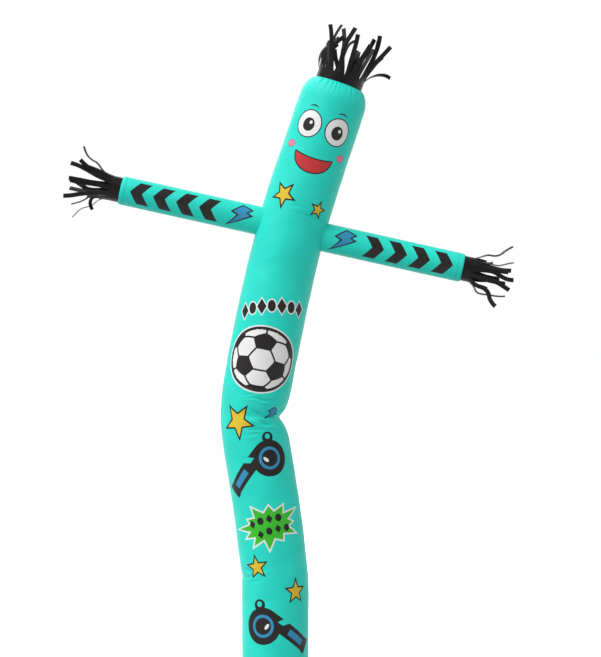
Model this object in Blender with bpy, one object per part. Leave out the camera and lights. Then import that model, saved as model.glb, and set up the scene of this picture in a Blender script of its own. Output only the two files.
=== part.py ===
"""Inflatable air dancer, 1.52 m tall: a blown-up cloth tube with two sleeves and three cut fringes.

Metres, +Z up. The origin is the centre of the open mouth at the foot, where the tube slips over the
collar of a blower. The front faces -Y, and +X is to the right as seen from the front.
"""

import math
from typing import NamedTuple

import bmesh
import bpy
from mathutils import Matrix, Vector

# Cloth, and the room left between two pieces that are sewn together
CLOTH = 0.0012
SEAM_GAP = 0.0003
HEM_HEIGHT = 0.025
HEM_EXTRA = 0.0010

# Body tube
AROUND_BODY = 36
NECK_RADIUS = 0.0545
SHOULDER_HEIGHT = 0.040
SHOULDER_FULLNESS = 0.72
SHOULDER_RINGS = 6
SHOULDER_SPACING = 1.6

# Sleeves, measured from the body's spine
AROUND_ARM = 24
ARM_RADIUS = 0.0318
ARM_REACH = 0.389
ARM_TILT = math.radians(12.5)
ARM_FIRST_RING = 0.112
ARM_RINGS = 4
WRIST_RADIUS = 0.0298
WRIST_ROUNDING = 0.008
WRIST_RINGS = 3
ROOT_GAP = 0.0006
ROOT_NEAREST = 0.03
ROOT_FURTHEST = 0.14
HOLE_START = 0.02

# Fringes: a short black tube whose free edge is cut into strips
BAND_TUCK = 0.008
BAND_HEIGHT = 0.020
STRIP_WIDTH = 0.0098
STRIP_STEPS = 6

# Steps that bring the nearest spine point, and a sleeve's root, well under a micrometre
SPINE_TRIES = 12
ROOT_HALVINGS = 30
SLOPE_STEP = 0.001
SHARP_ANGLE = math.radians(40)

FRONT = Vector((0.0, -1.0, 0.0))


class Station(NamedTuple):
    """A cross-section of the body: the height and side shift of its centre, and its radius."""

    height: float
    side: float
    radius: float


class Fold(NamedTuple):
    """A crease that runs in from one side. Its angle is measured from the right side to the front."""

    height: float
    angle: float
    depth: float
    above: float
    below: float
    spread: float


class Run(NamedTuple):
    """A stretch of the body with evenly spaced rings."""

    low: float
    high: float
    steps: int


class Sleeve(NamedTuple):
    """A sleeve: which way it points, -1 for left and 1 for right, and where it leaves the spine."""

    side: str
    hand: int
    height: float


class Strip(NamedTuple):
    """A strip of a fringe, in degrees and metres.

    low, middle and high are its headings at the root, half-way and at the tip, measured from the
    band's axis. sway adds a wave to them. forward is how far the tip leans to the front, and twist
    is how far the strip has turned about itself at the tip.
    """

    low: float
    middle: float
    high: float
    sway: float
    forward: float
    length: float
    twist: float


SPINE = (
    Station(0.000, 0.0000, 0.0740),
    Station(0.150, 0.0000, 0.0740),
    Station(0.260, -0.0002, 0.0740),
    Station(0.302, -0.0022, 0.0742),
    Station(0.436, -0.0178, 0.0745),
    Station(0.590, -0.0418, 0.0750),
    Station(0.650, -0.0462, 0.0755),
    Station(0.702, -0.0422, 0.0758),
    Station(0.836, -0.0167, 0.0765),
    Station(0.996, 0.0184, 0.0760),
    Station(1.129, 0.0549, 0.0755),
    Station(1.289, 0.1078, 0.0750),
    Station(1.3855, 0.1404, 0.0745),
)

# The tube buckles on its inner side at the waist, and creases slightly at the lower bend.
FOLDS = (
    Fold(height=0.6460, angle=0, depth=0.0260, above=0.0260, below=0.0150, spread=58),
    Fold(height=0.3020, angle=180, depth=0.0030, above=0.0120, below=0.0120, spread=40),
    Fold(height=1.0950, angle=55, depth=0.0025, above=0.0100, below=0.0100, spread=25),
)

# Heights of the body's rings: wide apart on plain stretches and close together at the folds.
RING_RUNS = (
    Run(0.000, 0.0245, 1),
    Run(0.025, 0.260, 2),
    Run(0.290, 0.302, 1),
    Run(0.314, 0.560, 4),
    Run(0.590, 0.634, 3),
    Run(0.641, 0.651, 2),
    Run(0.659, 0.700, 3),
    Run(0.740, 1.060, 5),
    Run(1.085, 1.095, 1),
    Run(1.105, 1.325, 4),
)

LEFT = Sleeve("left", -1, 1.0665)
RIGHT = Sleeve("right", 1, 1.0620)

# Strips start at the band's right side, or at its top on a hand, and go round by way of the front.
HAIR = (
    Strip(30, 66, 110, 0, 25, 0.080, 40),
    Strip(2, 25, 25, 0, 8, 0.105, 30),
    Strip(4, 8, 10, 0, -12, 0.082, -20),
    Strip(14, 12, -8, 0, 6, 0.106, 25),
    Strip(-4, 20, 4, 0, 24, 0.101, 10),
    Strip(-6, 3, -8, 0, 14, 0.099, -10),
    Strip(-5, -14, -20, 0, -22, 0.103, -15),
    Strip(-6, 0, 8, 0, -46, 0.088, 20),
    Strip(-3, -12, -14, 0, -16, 0.086, -20),
    Strip(-8, -11, -22, 0, 28, 0.100, 25),
    Strip(-24, 46, 0, 0, 52, 0.120, 40),
    Strip(0, 8, 16, 0, 2, 0.106, -40),
    Strip(-26, 14, 44, 0, 0, 0.090, 0),
    Strip(-2, 2, 6, 0, -35, 0.090, 15),
    Strip(0, 8, 6, 0, -12, 0.092, 30),
    Strip(-6, -2, 0, 0, -26, 0.094, -20),
    Strip(-2, 2, 8, 0, -8, 0.096, 15),
    Strip(-2, -4, 2, 0, -28, 0.092, 0),
    Strip(2, 2, -12, 0, -14, 0.102, -25),
    Strip(0, 6, 14, 0, -34, 0.090, 20),
    Strip(-4, -2, 6, 0, -16, 0.096, 0),
    Strip(2, -5, -5, 0, -60, 0.090, 10),
    Strip(4, 10, 2, 0, -20, 0.098, 25),
    Strip(6, 14, 22, 0, -38, 0.088, -15),
    Strip(8, 28, 34, 0, -34, 0.084, 10),
    Strip(10, 18, 8, 0, -12, 0.088, -30),
)
LEFT_HAND = (
    Strip(20, 30, 62, 12, 6, 0.097, 10),
    Strip(0, 14, 38, 0, 22, 0.086, 10),
    Strip(-10, -4, 2, 0, -12, 0.098, -10),
    Strip(-4, -3, -2, 0, 20, 0.094, 15),
    Strip(-2, -4, 45, 0, 34, 0.088, 10),
    Strip(20, -16, -27, 0, 24, 0.106, -15),
    Strip(14, -20, -140, 0, 2, 0.080, 60),
    Strip(-5, -40, -58, -8, -6, 0.096, 15),
    Strip(4, -32, -30, 0, -16, 0.092, 20),
    Strip(-2, -9, 0, 0, -10, 0.094, -15),
    Strip(0, -6, -10, 0, -24, 0.088, 20),
    Strip(-2, -4, 6, 0, -12, 0.090, 0),
    Strip(2, 8, 28, 0, -8, 0.099, -10),
    Strip(4, 12, -6, 0, -34, 0.070, 20),
)
RIGHT_HAND = (
    Strip(20, 20, 56, 10, 6, 0.094, 10),
    Strip(-20, -4, 22, 0, 12, 0.089, 10),
    Strip(-8, 2, 4, 0, 32, 0.088, -15),
    Strip(-7, -6, 12, 0, 26, 0.087, 10),
    Strip(-2, -8, -16, 0, 2, 0.098, 10),
    Strip(-24, -26, -56, 12, 30, 0.089, 30),
    Strip(-18, -16, -30, 0, 6, 0.074, -20),
    Strip(-40, -16, 20, 0, -6, 0.093, 15),
    Strip(-4, -8, -6, 0, -20, 0.086, 10),
    Strip(-6, 0, 6, 0, -22, 0.084, -20),
    Strip(-3, 3, -6, 0, -26, 0.090, 15),
    Strip(-4, -14, 8, 0, 16, 0.099, 0),
    Strip(0, -2, 24, -8, -26, 0.093, 20),
    Strip(2, -6, 30, 0, -10, 0.052, -10),
)

TURQUOISE = (0.048, 0.708, 0.597, 1.0)
BLACK = (0.012, 0.012, 0.013, 1.0)


def clear_scene():
    for obj in list(bpy.data.objects):
        bpy.data.objects.remove(obj)


def cloth_material(name, colour, roughness):
    material = bpy.data.materials.new(name)
    material.use_nodes = True
    shader = material.node_tree.nodes["Principled BSDF"]
    shader.inputs["Base Color"].default_value = colour
    shader.inputs["Roughness"].default_value = roughness
    shader.inputs["Metallic"].default_value = 0.0
    return material


def along_spine(height, column):
    """A column of SPINE at this height, on a smooth curve through its rows."""
    last = len(SPINE) - 1
    row = next((i for i in range(last) if height <= SPINE[i + 1].height), last - 1)

    def slope(i):
        low, high = SPINE[max(i - 1, 0)], SPINE[min(i + 1, last)]
        return (getattr(high, column) - getattr(low, column)) / (high.height - low.height)

    low, high = SPINE[row], SPINE[row + 1]
    span = high.height - low.height
    t = (height - low.height) / span
    start, end = getattr(low, column), getattr(high, column)
    return (
        (2 * t**3 - 3 * t**2 + 1) * start
        + (t**3 - 2 * t**2 + t) * span * slope(row)
        + (3 * t**2 - 2 * t**3) * end
        + (t**3 - t**2) * span * slope(row + 1)
    )


def spine_point(height):
    return Vector((along_spine(height, "side"), 0.0, height))


def spine_frame(height):
    """The spine's direction and the sideways direction across it, at this height."""
    above = spine_point(min(height + SLOPE_STEP, SPINE[-1].height))
    along = (above - spine_point(max(height - SLOPE_STEP, 0.0))).normalized()
    return along, Vector((along.z, 0.0, -along.x))


def fold_depth(height, angle):
    """How far the folds draw the cloth in at this height and angle."""
    depth = 0.0
    for fold in FOLDS:
        turn = math.remainder(angle - math.radians(fold.angle), math.tau)
        rise = height - fold.height
        away = abs(rise) / (fold.above if rise > 0 else fold.below)
        depth += fold.depth * math.exp(-away - (turn / math.radians(fold.spread)) ** 2)
    return depth


def body_radius(height, angle):
    """Radius of the outer skin, with its rounded shoulder and folds."""
    radius = along_spine(height, "radius")
    below_top = SPINE[-1].height - height
    if below_top < SHOULDER_HEIGHT:
        rise = 1.0 - (1.0 - below_top / SHOULDER_HEIGHT) ** 2
        radius = NECK_RADIUS + (radius - NECK_RADIUS) * max(rise, 0.0) ** SHOULDER_FULLNESS
    return radius - fold_depth(height, angle)


def body_ring(height, inset):
    """The points round the body at this height, set in from the outer skin."""
    centre = spine_point(height)
    side = spine_frame(height)[1]
    points = []
    for i in range(AROUND_BODY):
        angle = math.tau * i / AROUND_BODY
        radius = body_radius(height, angle) - inset
        points.append(centre + radius * (math.cos(angle) * side + math.sin(angle) * FRONT))
    return points


def body_heights():
    heights = []
    for run in RING_RUNS:
        heights += [run.low + (run.high - run.low) * i / run.steps for i in range(run.steps + 1)]
    for i in range(SHOULDER_RINGS + 1):
        below_top = SHOULDER_HEIGHT * (1 - i / SHOULDER_RINGS) ** SHOULDER_SPACING
        heights.append(SPINE[-1].height - below_top)
    return heights


def join_rings(bm, low, high):
    """Joins two rings that have the same number of vertices with quads."""
    count = len(low)
    for i in range(count):
        j = (i + 1) % count
        bm.faces.new((low[i], low[j], high[j], high[i]))


def add_skin(bm, rings):
    """Adds rings of points, joins each to the next, and returns the first and last ring."""
    made = [[bm.verts.new(point) for point in ring] for ring in rings]
    for low, high in zip(made, made[1:]):
        join_rings(bm, low, high)
    return made[0], made[-1]


def cloth_tube(name, outer, inner, material):
    """An open tube of cloth, from the rings of its outer skin and of its inner skin."""
    bm = bmesh.new()
    outer_start, outer_end = add_skin(bm, outer)
    inner_start, inner_end = add_skin(bm, inner)
    join_rings(bm, inner_start, outer_start)
    join_rings(bm, outer_end, inner_end)
    return finish_mesh(bm, name, material)


def finish_mesh(bm, name, material):
    bmesh.ops.recalc_face_normals(bm, faces=bm.faces)
    mesh = bpy.data.meshes.new(name)
    bm.to_mesh(mesh)
    bm.free()
    mesh.shade_smooth()
    mesh.set_sharp_from_angle(angle=SHARP_ANGLE)
    mesh.materials.append(material)
    obj = bpy.data.objects.new(name, mesh)
    bpy.context.scene.collection.objects.link(obj)
    return obj


def arm_frame(sleeve):
    """Axis, upper direction and start of a sleeve."""
    along = sleeve.hand * Vector((math.cos(ARM_TILT), 0.0, -math.sin(ARM_TILT)))
    upper = Vector((math.sin(ARM_TILT), 0.0, math.cos(ARM_TILT)))
    return along, upper, spine_point(sleeve.height)


def inside_body(point):
    """Whether a point lies in the body, or closer to its skin than the gap at a sleeve's root."""
    height = point.z
    for _ in range(SPINE_TRIES):
        height += (point - spine_point(height)).dot(spine_frame(height)[0])
    return (point - spine_point(height)).length < along_spine(height, "radius") + ROOT_GAP


def root_distance(along, start):
    """How far a line from inside the body runs before it leaves it."""
    near, far = ROOT_NEAREST, ROOT_FURTHEST
    for _ in range(ROOT_HALVINGS):
        middle = (near + far) / 2
        if inside_body(start + along * middle):
            near = middle
        else:
            far = middle
    return far


def arm_radius(distance):
    """Radius of a sleeve's outer skin, rounded in at the wrist."""
    into = max(distance - (ARM_REACH - WRIST_ROUNDING), 0.0) / WRIST_ROUNDING
    return WRIST_RADIUS + (ARM_RADIUS - WRIST_RADIUS) * math.sqrt(max(1.0 - into**2, 0.0))


def arm_rings(sleeve, inset):
    """Rings of a sleeve's skin, from its saddle-shaped root to its wrist."""
    along, upper, start = arm_frame(sleeve)
    plain = ARM_REACH - WRIST_ROUNDING
    places = [ARM_FIRST_RING + (plain - ARM_FIRST_RING) * i / ARM_RINGS for i in range(ARM_RINGS + 1)]
    for i in range(1, WRIST_RINGS + 1):
        places.append(plain + WRIST_ROUNDING * math.sin(math.pi / 2 * i / WRIST_RINGS))

    def beside(place, i):
        angle = math.tau * i / AROUND_ARM
        radius = arm_radius(place) - inset
        return start + radius * (math.cos(angle) * upper + math.sin(angle) * FRONT)

    edge = [beside(ARM_FIRST_RING, i) for i in range(AROUND_ARM)]
    rings = [[point + along * root_distance(along, point) for point in edge]]
    for place in places:
        rings.append([beside(place, i) + along * place for i in range(AROUND_ARM)])
    return rings


def sleeve_hole_cutter(sleeve):
    """A cylinder that opens the body's wall into a sleeve."""
    along, _, start = arm_frame(sleeve)
    length = ROOT_FURTHEST - HOLE_START
    bore = ARM_RADIUS - CLOTH
    bm = bmesh.new()
    bmesh.ops.create_cone(
        bm, cap_ends=True, segments=AROUND_ARM, radius1=bore, radius2=bore, depth=length
    )
    turn = along.to_track_quat("Z", "Y").to_matrix().to_4x4()
    middle = start + along * (HOLE_START + length / 2)
    bmesh.ops.transform(bm, matrix=Matrix.Translation(middle) @ turn, verts=bm.verts)
    cutter = finish_mesh(bm, f"{sleeve.side}_sleeve_hole", bpy.data.materials["turquoise_nylon"])
    cutter.hide_render = True
    cutter.display_type = "WIRE"
    return cutter


def strip_heading(strip, share):
    """The strip's in-plane heading at this share of its length, in radians."""
    turn = strip.low * (1 - share) * (1 - 2 * share)
    turn += strip.middle * 4 * share * (1 - share)
    turn += strip.high * share * (2 * share - 1)
    turn += strip.sway * math.sin(math.tau * share)
    return math.radians(turn)


def strip_sections(strip, root, tangent, along, side):
    """The rectangles along one strip, from the band's cut edge to the strip's free end."""
    place = root.copy()
    sections = []
    for i in range(STRIP_STEPS + 1):
        share = i / STRIP_STEPS
        heading = along
        if i > 0:
            middle = share - 0.5 / STRIP_STEPS
            turn = strip_heading(strip, middle)
            lean = math.radians(strip.forward) * middle
            heading = math.cos(lean) * (math.cos(turn) * along + math.sin(turn) * side)
            heading += math.sin(lean) * FRONT
            place = place + heading * strip.length / STRIP_STEPS
        flat = (tangent - tangent.dot(heading) * heading).normalized()
        flat = Matrix.Rotation(math.radians(strip.twist) * share, 3, heading) @ flat
        across = flat * STRIP_WIDTH / 2
        through = flat.cross(heading) * CLOTH / 2
        sections.append(
            (place - across + through, place + across + through, place + across - through,
             place - across - through)
        )
    return sections


def fringe(name, strips, rim, along, side, bore, material):
    """A band that stands in the end of a tube of this bore, and its strips, as one solid."""
    bm = bmesh.new()
    face = math.sqrt((bore - SEAM_GAP) ** 2 - (STRIP_WIDTH / 2) ** 2) - CLOTH / 2
    feet, tops = [], []
    for i, strip in enumerate(strips):
        angle = math.tau * (i + 0.5) / len(strips)
        out = math.cos(angle) * side + math.sin(angle) * FRONT
        tangent = math.cos(angle) * FRONT - math.sin(angle) * side
        root = rim + along * BAND_HEIGHT + out * face
        sections = strip_sections(strip, root, tangent, along, side)
        chain = [[bm.verts.new(point) for point in section] for section in sections]
        for low, high in zip(chain, chain[1:]):
            join_rings(bm, low, high)
        bm.faces.new(chain[-1])
        drop = along * (BAND_HEIGHT + BAND_TUCK)
        feet.append([bm.verts.new(vertex.co - drop) for vertex in chain[0]])
        tops.append(chain[0])
    for i in range(len(strips)):
        join_band(bm, feet[i - 1], tops[i - 1], feet[i], tops[i])
    return finish_mesh(bm, name, material)


def join_band(bm, foot, top, next_foot, next_top):
    """The band under one strip, and between it and the next."""
    bm.faces.new((foot[0], foot[1], top[1], top[0]))
    bm.faces.new((foot[2], foot[3], top[3], top[2]))
    bm.faces.new(foot)
    bm.faces.new((foot[1], next_foot[0], next_top[0], top[1]))
    bm.faces.new((next_foot[3], foot[2], top[2], next_top[3]))
    bm.faces.new((foot[1], foot[2], next_foot[3], next_foot[0]))
    bm.faces.new((top[1], next_top[0], next_top[3], top[2]))


def build_body(material):
    outer, inner = [], []
    for height in body_heights():
        hem = HEM_EXTRA if height < HEM_HEIGHT else 0.0
        outer.append(body_ring(height, 0.0))
        inner.append(body_ring(height, CLOTH + hem))
    body = cloth_tube("body_tube", outer, inner, material)
    for sleeve in (LEFT, RIGHT):
        hole = body.modifiers.new(f"{sleeve.side}_sleeve_hole", "BOOLEAN")
        hole.operation = "DIFFERENCE"
        hole.object = sleeve_hole_cutter(sleeve)


def build_hair(material):
    rim = spine_point(SPINE[-1].height)
    along, side = spine_frame(SPINE[-1].height)
    bore = (NECK_RADIUS - CLOTH) * math.cos(math.pi / AROUND_BODY)
    fringe("hair_fringe", HAIR, rim, along, side, bore, material)


def build_arm(sleeve, strips, cloth, black_cloth):
    name = f"{sleeve.side}_arm"
    cloth_tube(name, arm_rings(sleeve, 0.0), arm_rings(sleeve, CLOTH), cloth)
    along, upper, start = arm_frame(sleeve)
    bore = (WRIST_RADIUS - CLOTH) * math.cos(math.pi / AROUND_ARM)
    rim = start + along * ARM_REACH
    fringe(f"{sleeve.side}_hand_fringe", strips, rim, along, upper, bore, black_cloth)


def main():
    clear_scene()
    cloth = cloth_material("turquoise_nylon", TURQUOISE, 0.55)
    black_cloth = cloth_material("black_nylon", BLACK, 0.45)
    build_body(cloth)
    build_hair(black_cloth)
    build_arm(LEFT, LEFT_HAND, cloth, black_cloth)
    build_arm(RIGHT, RIGHT_HAND, cloth, black_cloth)


main()
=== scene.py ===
"""Looks of an inflatable air dancer: a printed nylon tube with two sleeves and cut black fringes.

Metres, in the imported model's frame: +Z runs up the tube from its mouth, -Y is the printed front and
+X the right side as seen from the front. Cloth is drawn flat as it looks from the front, x to the
right and y up, and a tube's class wraps it round.
"""

import logging
import math
from collections.abc import Callable, Mapping, Sequence
from dataclasses import dataclass, field
from enum import Enum

import bpy
import numpy as np
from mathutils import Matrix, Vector, kdtree
from mathutils.geometry import delaunay_2d_cdt


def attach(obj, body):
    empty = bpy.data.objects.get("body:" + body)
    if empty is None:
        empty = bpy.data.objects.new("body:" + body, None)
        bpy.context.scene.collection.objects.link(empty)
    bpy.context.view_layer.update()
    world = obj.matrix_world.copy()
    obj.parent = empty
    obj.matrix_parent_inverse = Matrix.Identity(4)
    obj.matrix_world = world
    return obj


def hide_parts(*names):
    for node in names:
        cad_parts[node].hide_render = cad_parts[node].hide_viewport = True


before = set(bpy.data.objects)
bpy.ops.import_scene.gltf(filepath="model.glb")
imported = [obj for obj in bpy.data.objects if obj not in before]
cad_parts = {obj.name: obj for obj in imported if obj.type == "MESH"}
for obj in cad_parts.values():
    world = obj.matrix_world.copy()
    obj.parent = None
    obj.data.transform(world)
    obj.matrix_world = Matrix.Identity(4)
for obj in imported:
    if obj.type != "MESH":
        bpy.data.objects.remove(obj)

LOG = logging.getLogger("air_dancer")
BODY = "root"
CLOTH_SLOT = "turquoise_nylon"
FRINGE_SLOT = "black_nylon"
FLAT_MAP = "flat_cloth"

MM = 0.001
FRONT = np.array((0.0, -1.0, 0.0))
# The CAD tubes' wall, and how far a stitch stands off the cloth.
CAD_WALL = 0.0012
STITCH_LIFT = 0.0001
# Flat points nearer than this to one another are one point.
WELD = 1e-6

Tree = bpy.types.NodeTree
Socket = bpy.types.NodeSocket
Pair = tuple[float, float]
Triple = tuple[float, float, float]


class Ink(Enum):
    """The cloth's own dye and the inks printed on it, as sRGB hex."""

    CLOTH = "#1ECBBA"
    BLACK = "#130F0E"
    WHITE = "#DADADB"
    YELLOW = "#CFB12C"
    BLUE = "#2B81AA"
    RED = "#B53032"
    PINK = "#DC748F"
    GREEN = "#35AE26"


def linear(hex_colour: str) -> tuple[float, float, float, float]:
    """Turns an sRGB hex colour into the linear values that a shader takes.

    Args:
        hex_colour: The colour, such as "#30CFBF".

    Returns:
        Red, green, blue and an alpha of 1.
    """
    parts = [int(hex_colour[i : i + 2], 16) / 255 for i in (1, 3, 5)]
    red, green, blue = (
        part / 12.92 if part <= 0.04045 else ((part + 0.055) / 1.055) ** 2.4 for part in parts
    )
    return red, green, blue, 1.0


def add_node(
    tree: Tree, kind: str, inputs: Mapping[str | int, object] | None = None, **settings: object
) -> bpy.types.Node:
    """Adds a node with its settings, values and links.

    Args:
        tree: The tree that gets the node.
        kind: The node's type name.
        inputs: A value or an output socket for each named or numbered input.
        **settings: The node's own properties.

    Returns:
        The new node.
    """
    node = tree.nodes.new(kind)
    for name, value in settings.items():
        setattr(node, name, value)
    for name, value in (inputs or {}).items():
        if isinstance(value, Socket):
            tree.links.new(value, node.inputs[name])
        else:
            node.inputs[name].default_value = value
    return node


def emptied(owner: bpy.types.Material | bpy.types.World) -> Tree:
    """Clears the nodes of a material or a world.

    Args:
        owner: The material or the world.

    Returns:
        Its node tree.
    """
    owner.use_nodes = True
    owner.node_tree.nodes.clear()
    return owner.node_tree


def grey(value: float) -> tuple[float, float, float, float]:
    """A plain grey for a colour socket."""
    return value, value, value, 1.0


@dataclass(frozen=True)
class Nylon:
    """Woven nylon, calendered on its face, dyed or printed.

    It gives the eye an even satin: a broad soft highlight, a faint cloudiness in its colour that is
    partly uneven dye and partly painted shade of soft wrinkles, and a plain weave that shows only
    close up.
    """

    name: str
    colour: str
    roughness: float = 0.50
    gloss: float = 0.20
    sheen: float = 0.01
    # The mottle's size and share of the colour: partly uneven dye, partly painted shade of soft
    # wrinkles.
    mottle_and_shade_size: float = 0.055
    mottle_and_shade_share: float = 0.07
    crinkle_size: float = 0.016
    crinkle_height: float = 0.00022
    thread_pitch: float = 0.0011
    thread_height: float = 0.00003

    def build(self) -> bpy.types.Material:
        """Makes the material.

        Returns:
            A material that reads the cloth's flat map and Object coordinates.
        """
        material = bpy.data.materials.new(self.name)
        tree = emptied(material)
        place = add_node(tree, "ShaderNodeTexCoord").outputs["Object"]
        flat = add_node(tree, "ShaderNodeUVMap", uv_map=FLAT_MAP).outputs["UV"]
        # A soft mottle darkens the colour in blotches: partly uneven dye, partly painted shade of soft
        # wrinkles.
        mottle_and_shade_noise = {"Vector": place, "Scale": 1 / self.mottle_and_shade_size, "Detail": 2.0, "Roughness": 0.45}
        mottle_and_shade = add_node(tree, "ShaderNodeTexNoise", mottle_and_shade_noise).outputs["Fac"]
        span = {"From Min": 0.3, "From Max": 0.7, "To Min": 1.0 - self.mottle_and_shade_share, "To Max": 1.0}
        shade = add_node(tree, "ShaderNodeMapRange", {"Value": mottle_and_shade, **span}).outputs["Result"]
        # dye is the cloth's colour times the mottle, so it carries the painted shade as well.
        dye_and_shade_mix = {"Factor": 1.0, "A": linear(self.colour), "B": shade}
        dye = add_node(tree, "ShaderNodeMix", dye_and_shade_mix, data_type="RGBA", blend_type="MULTIPLY")
        # Real threads are about 0.25 mm apart, which is too fine to show, so these are 1.1 mm apart.
        weave = {
            "Vector": flat,
            "Scale": 1 / self.thread_pitch,
            "Color1": grey(1.0),
            "Color2": grey(0.55),
            "Mortar": grey(0.0),
            "Mortar Size": 0.12,
            "Mortar Smooth": 1.0,
            "Brick Width": 1.0,
            "Row Height": 0.5,
        }
        threads = add_node(tree, "ShaderNodeTexBrick", weave).outputs["Color"]
        crinkly = {"Vector": place, "Scale": 1 / self.crinkle_size, "Detail": 3.0, "Roughness": 0.5}
        crinkles = add_node(tree, "ShaderNodeTexNoise", crinkly).outputs["Fac"]
        soft = {"Height": crinkles, "Strength": 1.0, "Distance": self.crinkle_height}
        creased = add_node(tree, "ShaderNodeBump", soft).outputs["Normal"]
        fine = {"Height": threads, "Strength": 1.0, "Distance": self.thread_height, "Normal": creased}
        woven = add_node(tree, "ShaderNodeBump", fine).outputs["Normal"]
        look = {
            "Base Color": dye.outputs["Result"],
            "Normal": woven,
            "Roughness": self.roughness,
            "Metallic": 0.0,
            "IOR": 1.53,
            "Specular IOR Level": self.gloss,
            "Sheen Weight": self.sheen,
            "Sheen Roughness": 0.4,
        }
        shader = add_node(tree, "ShaderNodeBsdfPrincipled", look).outputs["BSDF"]
        add_node(tree, "ShaderNodeOutputMaterial", {"Surface": shader})
        return material


@dataclass(frozen=True)
class StudioPaper:
    """Matt seamless paper. It gives the eye an even white, with a fine tooth close up."""

    name: str = "seamless_paper"
    colour: str = "#FFFFFF"
    fibres_per_metre: float = 220.0
    tooth: float = 0.0002

    def build(self) -> bpy.types.Material:
        """Makes the material.

        Returns:
            A matt white material.
        """
        material = bpy.data.materials.new(self.name)
        tree = emptied(material)
        place = add_node(tree, "ShaderNodeTexCoord").outputs["Object"]
        fibrous = {"Vector": place, "Scale": self.fibres_per_metre, "Detail": 2.0}
        pulp = add_node(tree, "ShaderNodeTexNoise", fibrous).outputs["Fac"]
        raised = {"Height": pulp, "Strength": 0.4, "Distance": self.tooth}
        rough = add_node(tree, "ShaderNodeBump", raised).outputs["Normal"]
        look = {"Base Color": linear(self.colour), "Roughness": 0.95, "Specular IOR Level": 0.1}
        shader = add_node(tree, "ShaderNodeBsdfPrincipled", {**look, "Normal": rough}).outputs["BSDF"]
        add_node(tree, "ShaderNodeOutputMaterial", {"Surface": shader})
        return material


# --- flat figures -------------------------------------------------------------------------------


@dataclass(frozen=True)
class Figure:
    """A printed figure: a closed outline on the flat cloth, and its ink."""

    outline: np.ndarray
    ink: Ink


def turned(points: np.ndarray, degrees: float, centre: Sequence[float] = (0.0, 0.0)) -> np.ndarray:
    """Turns points about the origin and then moves them.

    Args:
        points: Points on the flat cloth, one a row.
        degrees: The turn, anticlockwise.
        centre: Where the origin goes.

    Returns:
        The moved points.
    """
    angle = math.radians(degrees)
    turn = np.array(((math.cos(angle), -math.sin(angle)), (math.sin(angle), math.cos(angle))))
    return points @ turn.T + np.asarray(centre)


def mirrored(points: np.ndarray) -> np.ndarray:
    """An outline with its left and right changed over, anticlockwise still."""
    return points[::-1] * (-1.0, 1.0)


def oval(
    half_width: float, half_height: float, centre: Sequence[float] = (0.0, 0.0), steps: int = 48
) -> np.ndarray:
    """An ellipse's outline.

    Args:
        half_width: Half its width.
        half_height: Half its height.
        centre: Its middle.
        steps: Number of points.

    Returns:
        The outline, anticlockwise.
    """
    angles = math.tau * np.arange(steps) / steps
    ring = np.column_stack((half_width * np.cos(angles), half_height * np.sin(angles)))
    return ring + np.asarray(centre)


def box(left: float, low: float, right: float, high: float) -> np.ndarray:
    """A rectangle's outline, anticlockwise."""
    return np.array(((left, low), (right, low), (right, high), (left, high)))


def bow(half_width: float, rise: float, steps: int = 13) -> np.ndarray:
    """A curve that rises in the middle, from the right end to the left."""
    share = np.linspace(1, -1, steps)
    return np.column_stack((half_width * share, rise * (1 - share**2)))


def spiked(radii: Sequence[float], degrees: float = 90.0) -> np.ndarray:
    """An anticlockwise outline whose points stand at even angles, this far from the middle."""
    angles = math.radians(degrees) + math.tau * np.arange(len(radii)) / len(radii)
    return np.array(radii)[:, None] * np.column_stack((np.cos(angles), np.sin(angles)))


def grown(outline: np.ndarray, by: float, longest: float = 3.4) -> np.ndarray:
    """Moves an anticlockwise outline's sides outwards.

    Args:
        outline: The outline.
        by: How far its sides move.
        longest: The most that a sharp corner moves, as a multiple of that.

    Returns:
        The wider outline.
    """
    before = outline - np.roll(outline, 1, axis=0)
    after = np.roll(before, -1, axis=0)
    sides = [
        np.column_stack((edge[:, 1], -edge[:, 0])) / np.linalg.norm(edge, axis=1, keepdims=True)
        for edge in (before, after)
    ]
    corner = sides[0] + sides[1]
    size = np.maximum(np.linalg.norm(corner, axis=1, keepdims=True), 1e-6)
    return outline + by * np.minimum(2.0 / size, longest) * corner / size


def bordered(face: np.ndarray, ink: Ink, edge: float, border: Ink = Ink.BLACK) -> list[Figure]:
    """A figure on a wider one, which shows as its border."""
    return [Figure(grown(face, edge), border), Figure(face, ink)]


def subdivided(outline: np.ndarray, step: float) -> np.ndarray:
    """Adds points to a closed outline.

    Args:
        outline: The outline.
        step: The longest side allowed.

    Returns:
        The outline with its sides split evenly.
    """
    made = []
    for start, end in zip(outline, np.roll(outline, -1, axis=0)):
        count = max(1, math.ceil(float(np.linalg.norm(end - start)) / step))
        made.append(start + (end - start) * (np.arange(count) / count)[:, None])
    return np.vstack(made)


def inside(points: np.ndarray, outline: np.ndarray) -> np.ndarray:
    """Which points lie inside a closed outline.

    Args:
        points: The points, one a row.
        outline: The outline.

    Returns:
        A truth value for each point.
    """
    near = ((points >= outline.min(0)) & (points <= outline.max(0))).all(1)
    x, y = points[near].T
    hit = np.zeros(len(x), bool)
    for (x0, y0), (x1, y1) in zip(outline, np.roll(outline, -1, axis=0)):
        if y0 != y1:
            crosses = (y0 > y) != (y1 > y)
            hit ^= crosses & (x < (x1 - x0) * (y - y0) / (y1 - y0) + x0)
    found = np.zeros(len(points), bool)
    found[near] = hit
    return found


def unit(vector: np.ndarray) -> np.ndarray:
    """The vector at a length of 1."""
    return vector / np.linalg.norm(vector)


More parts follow.
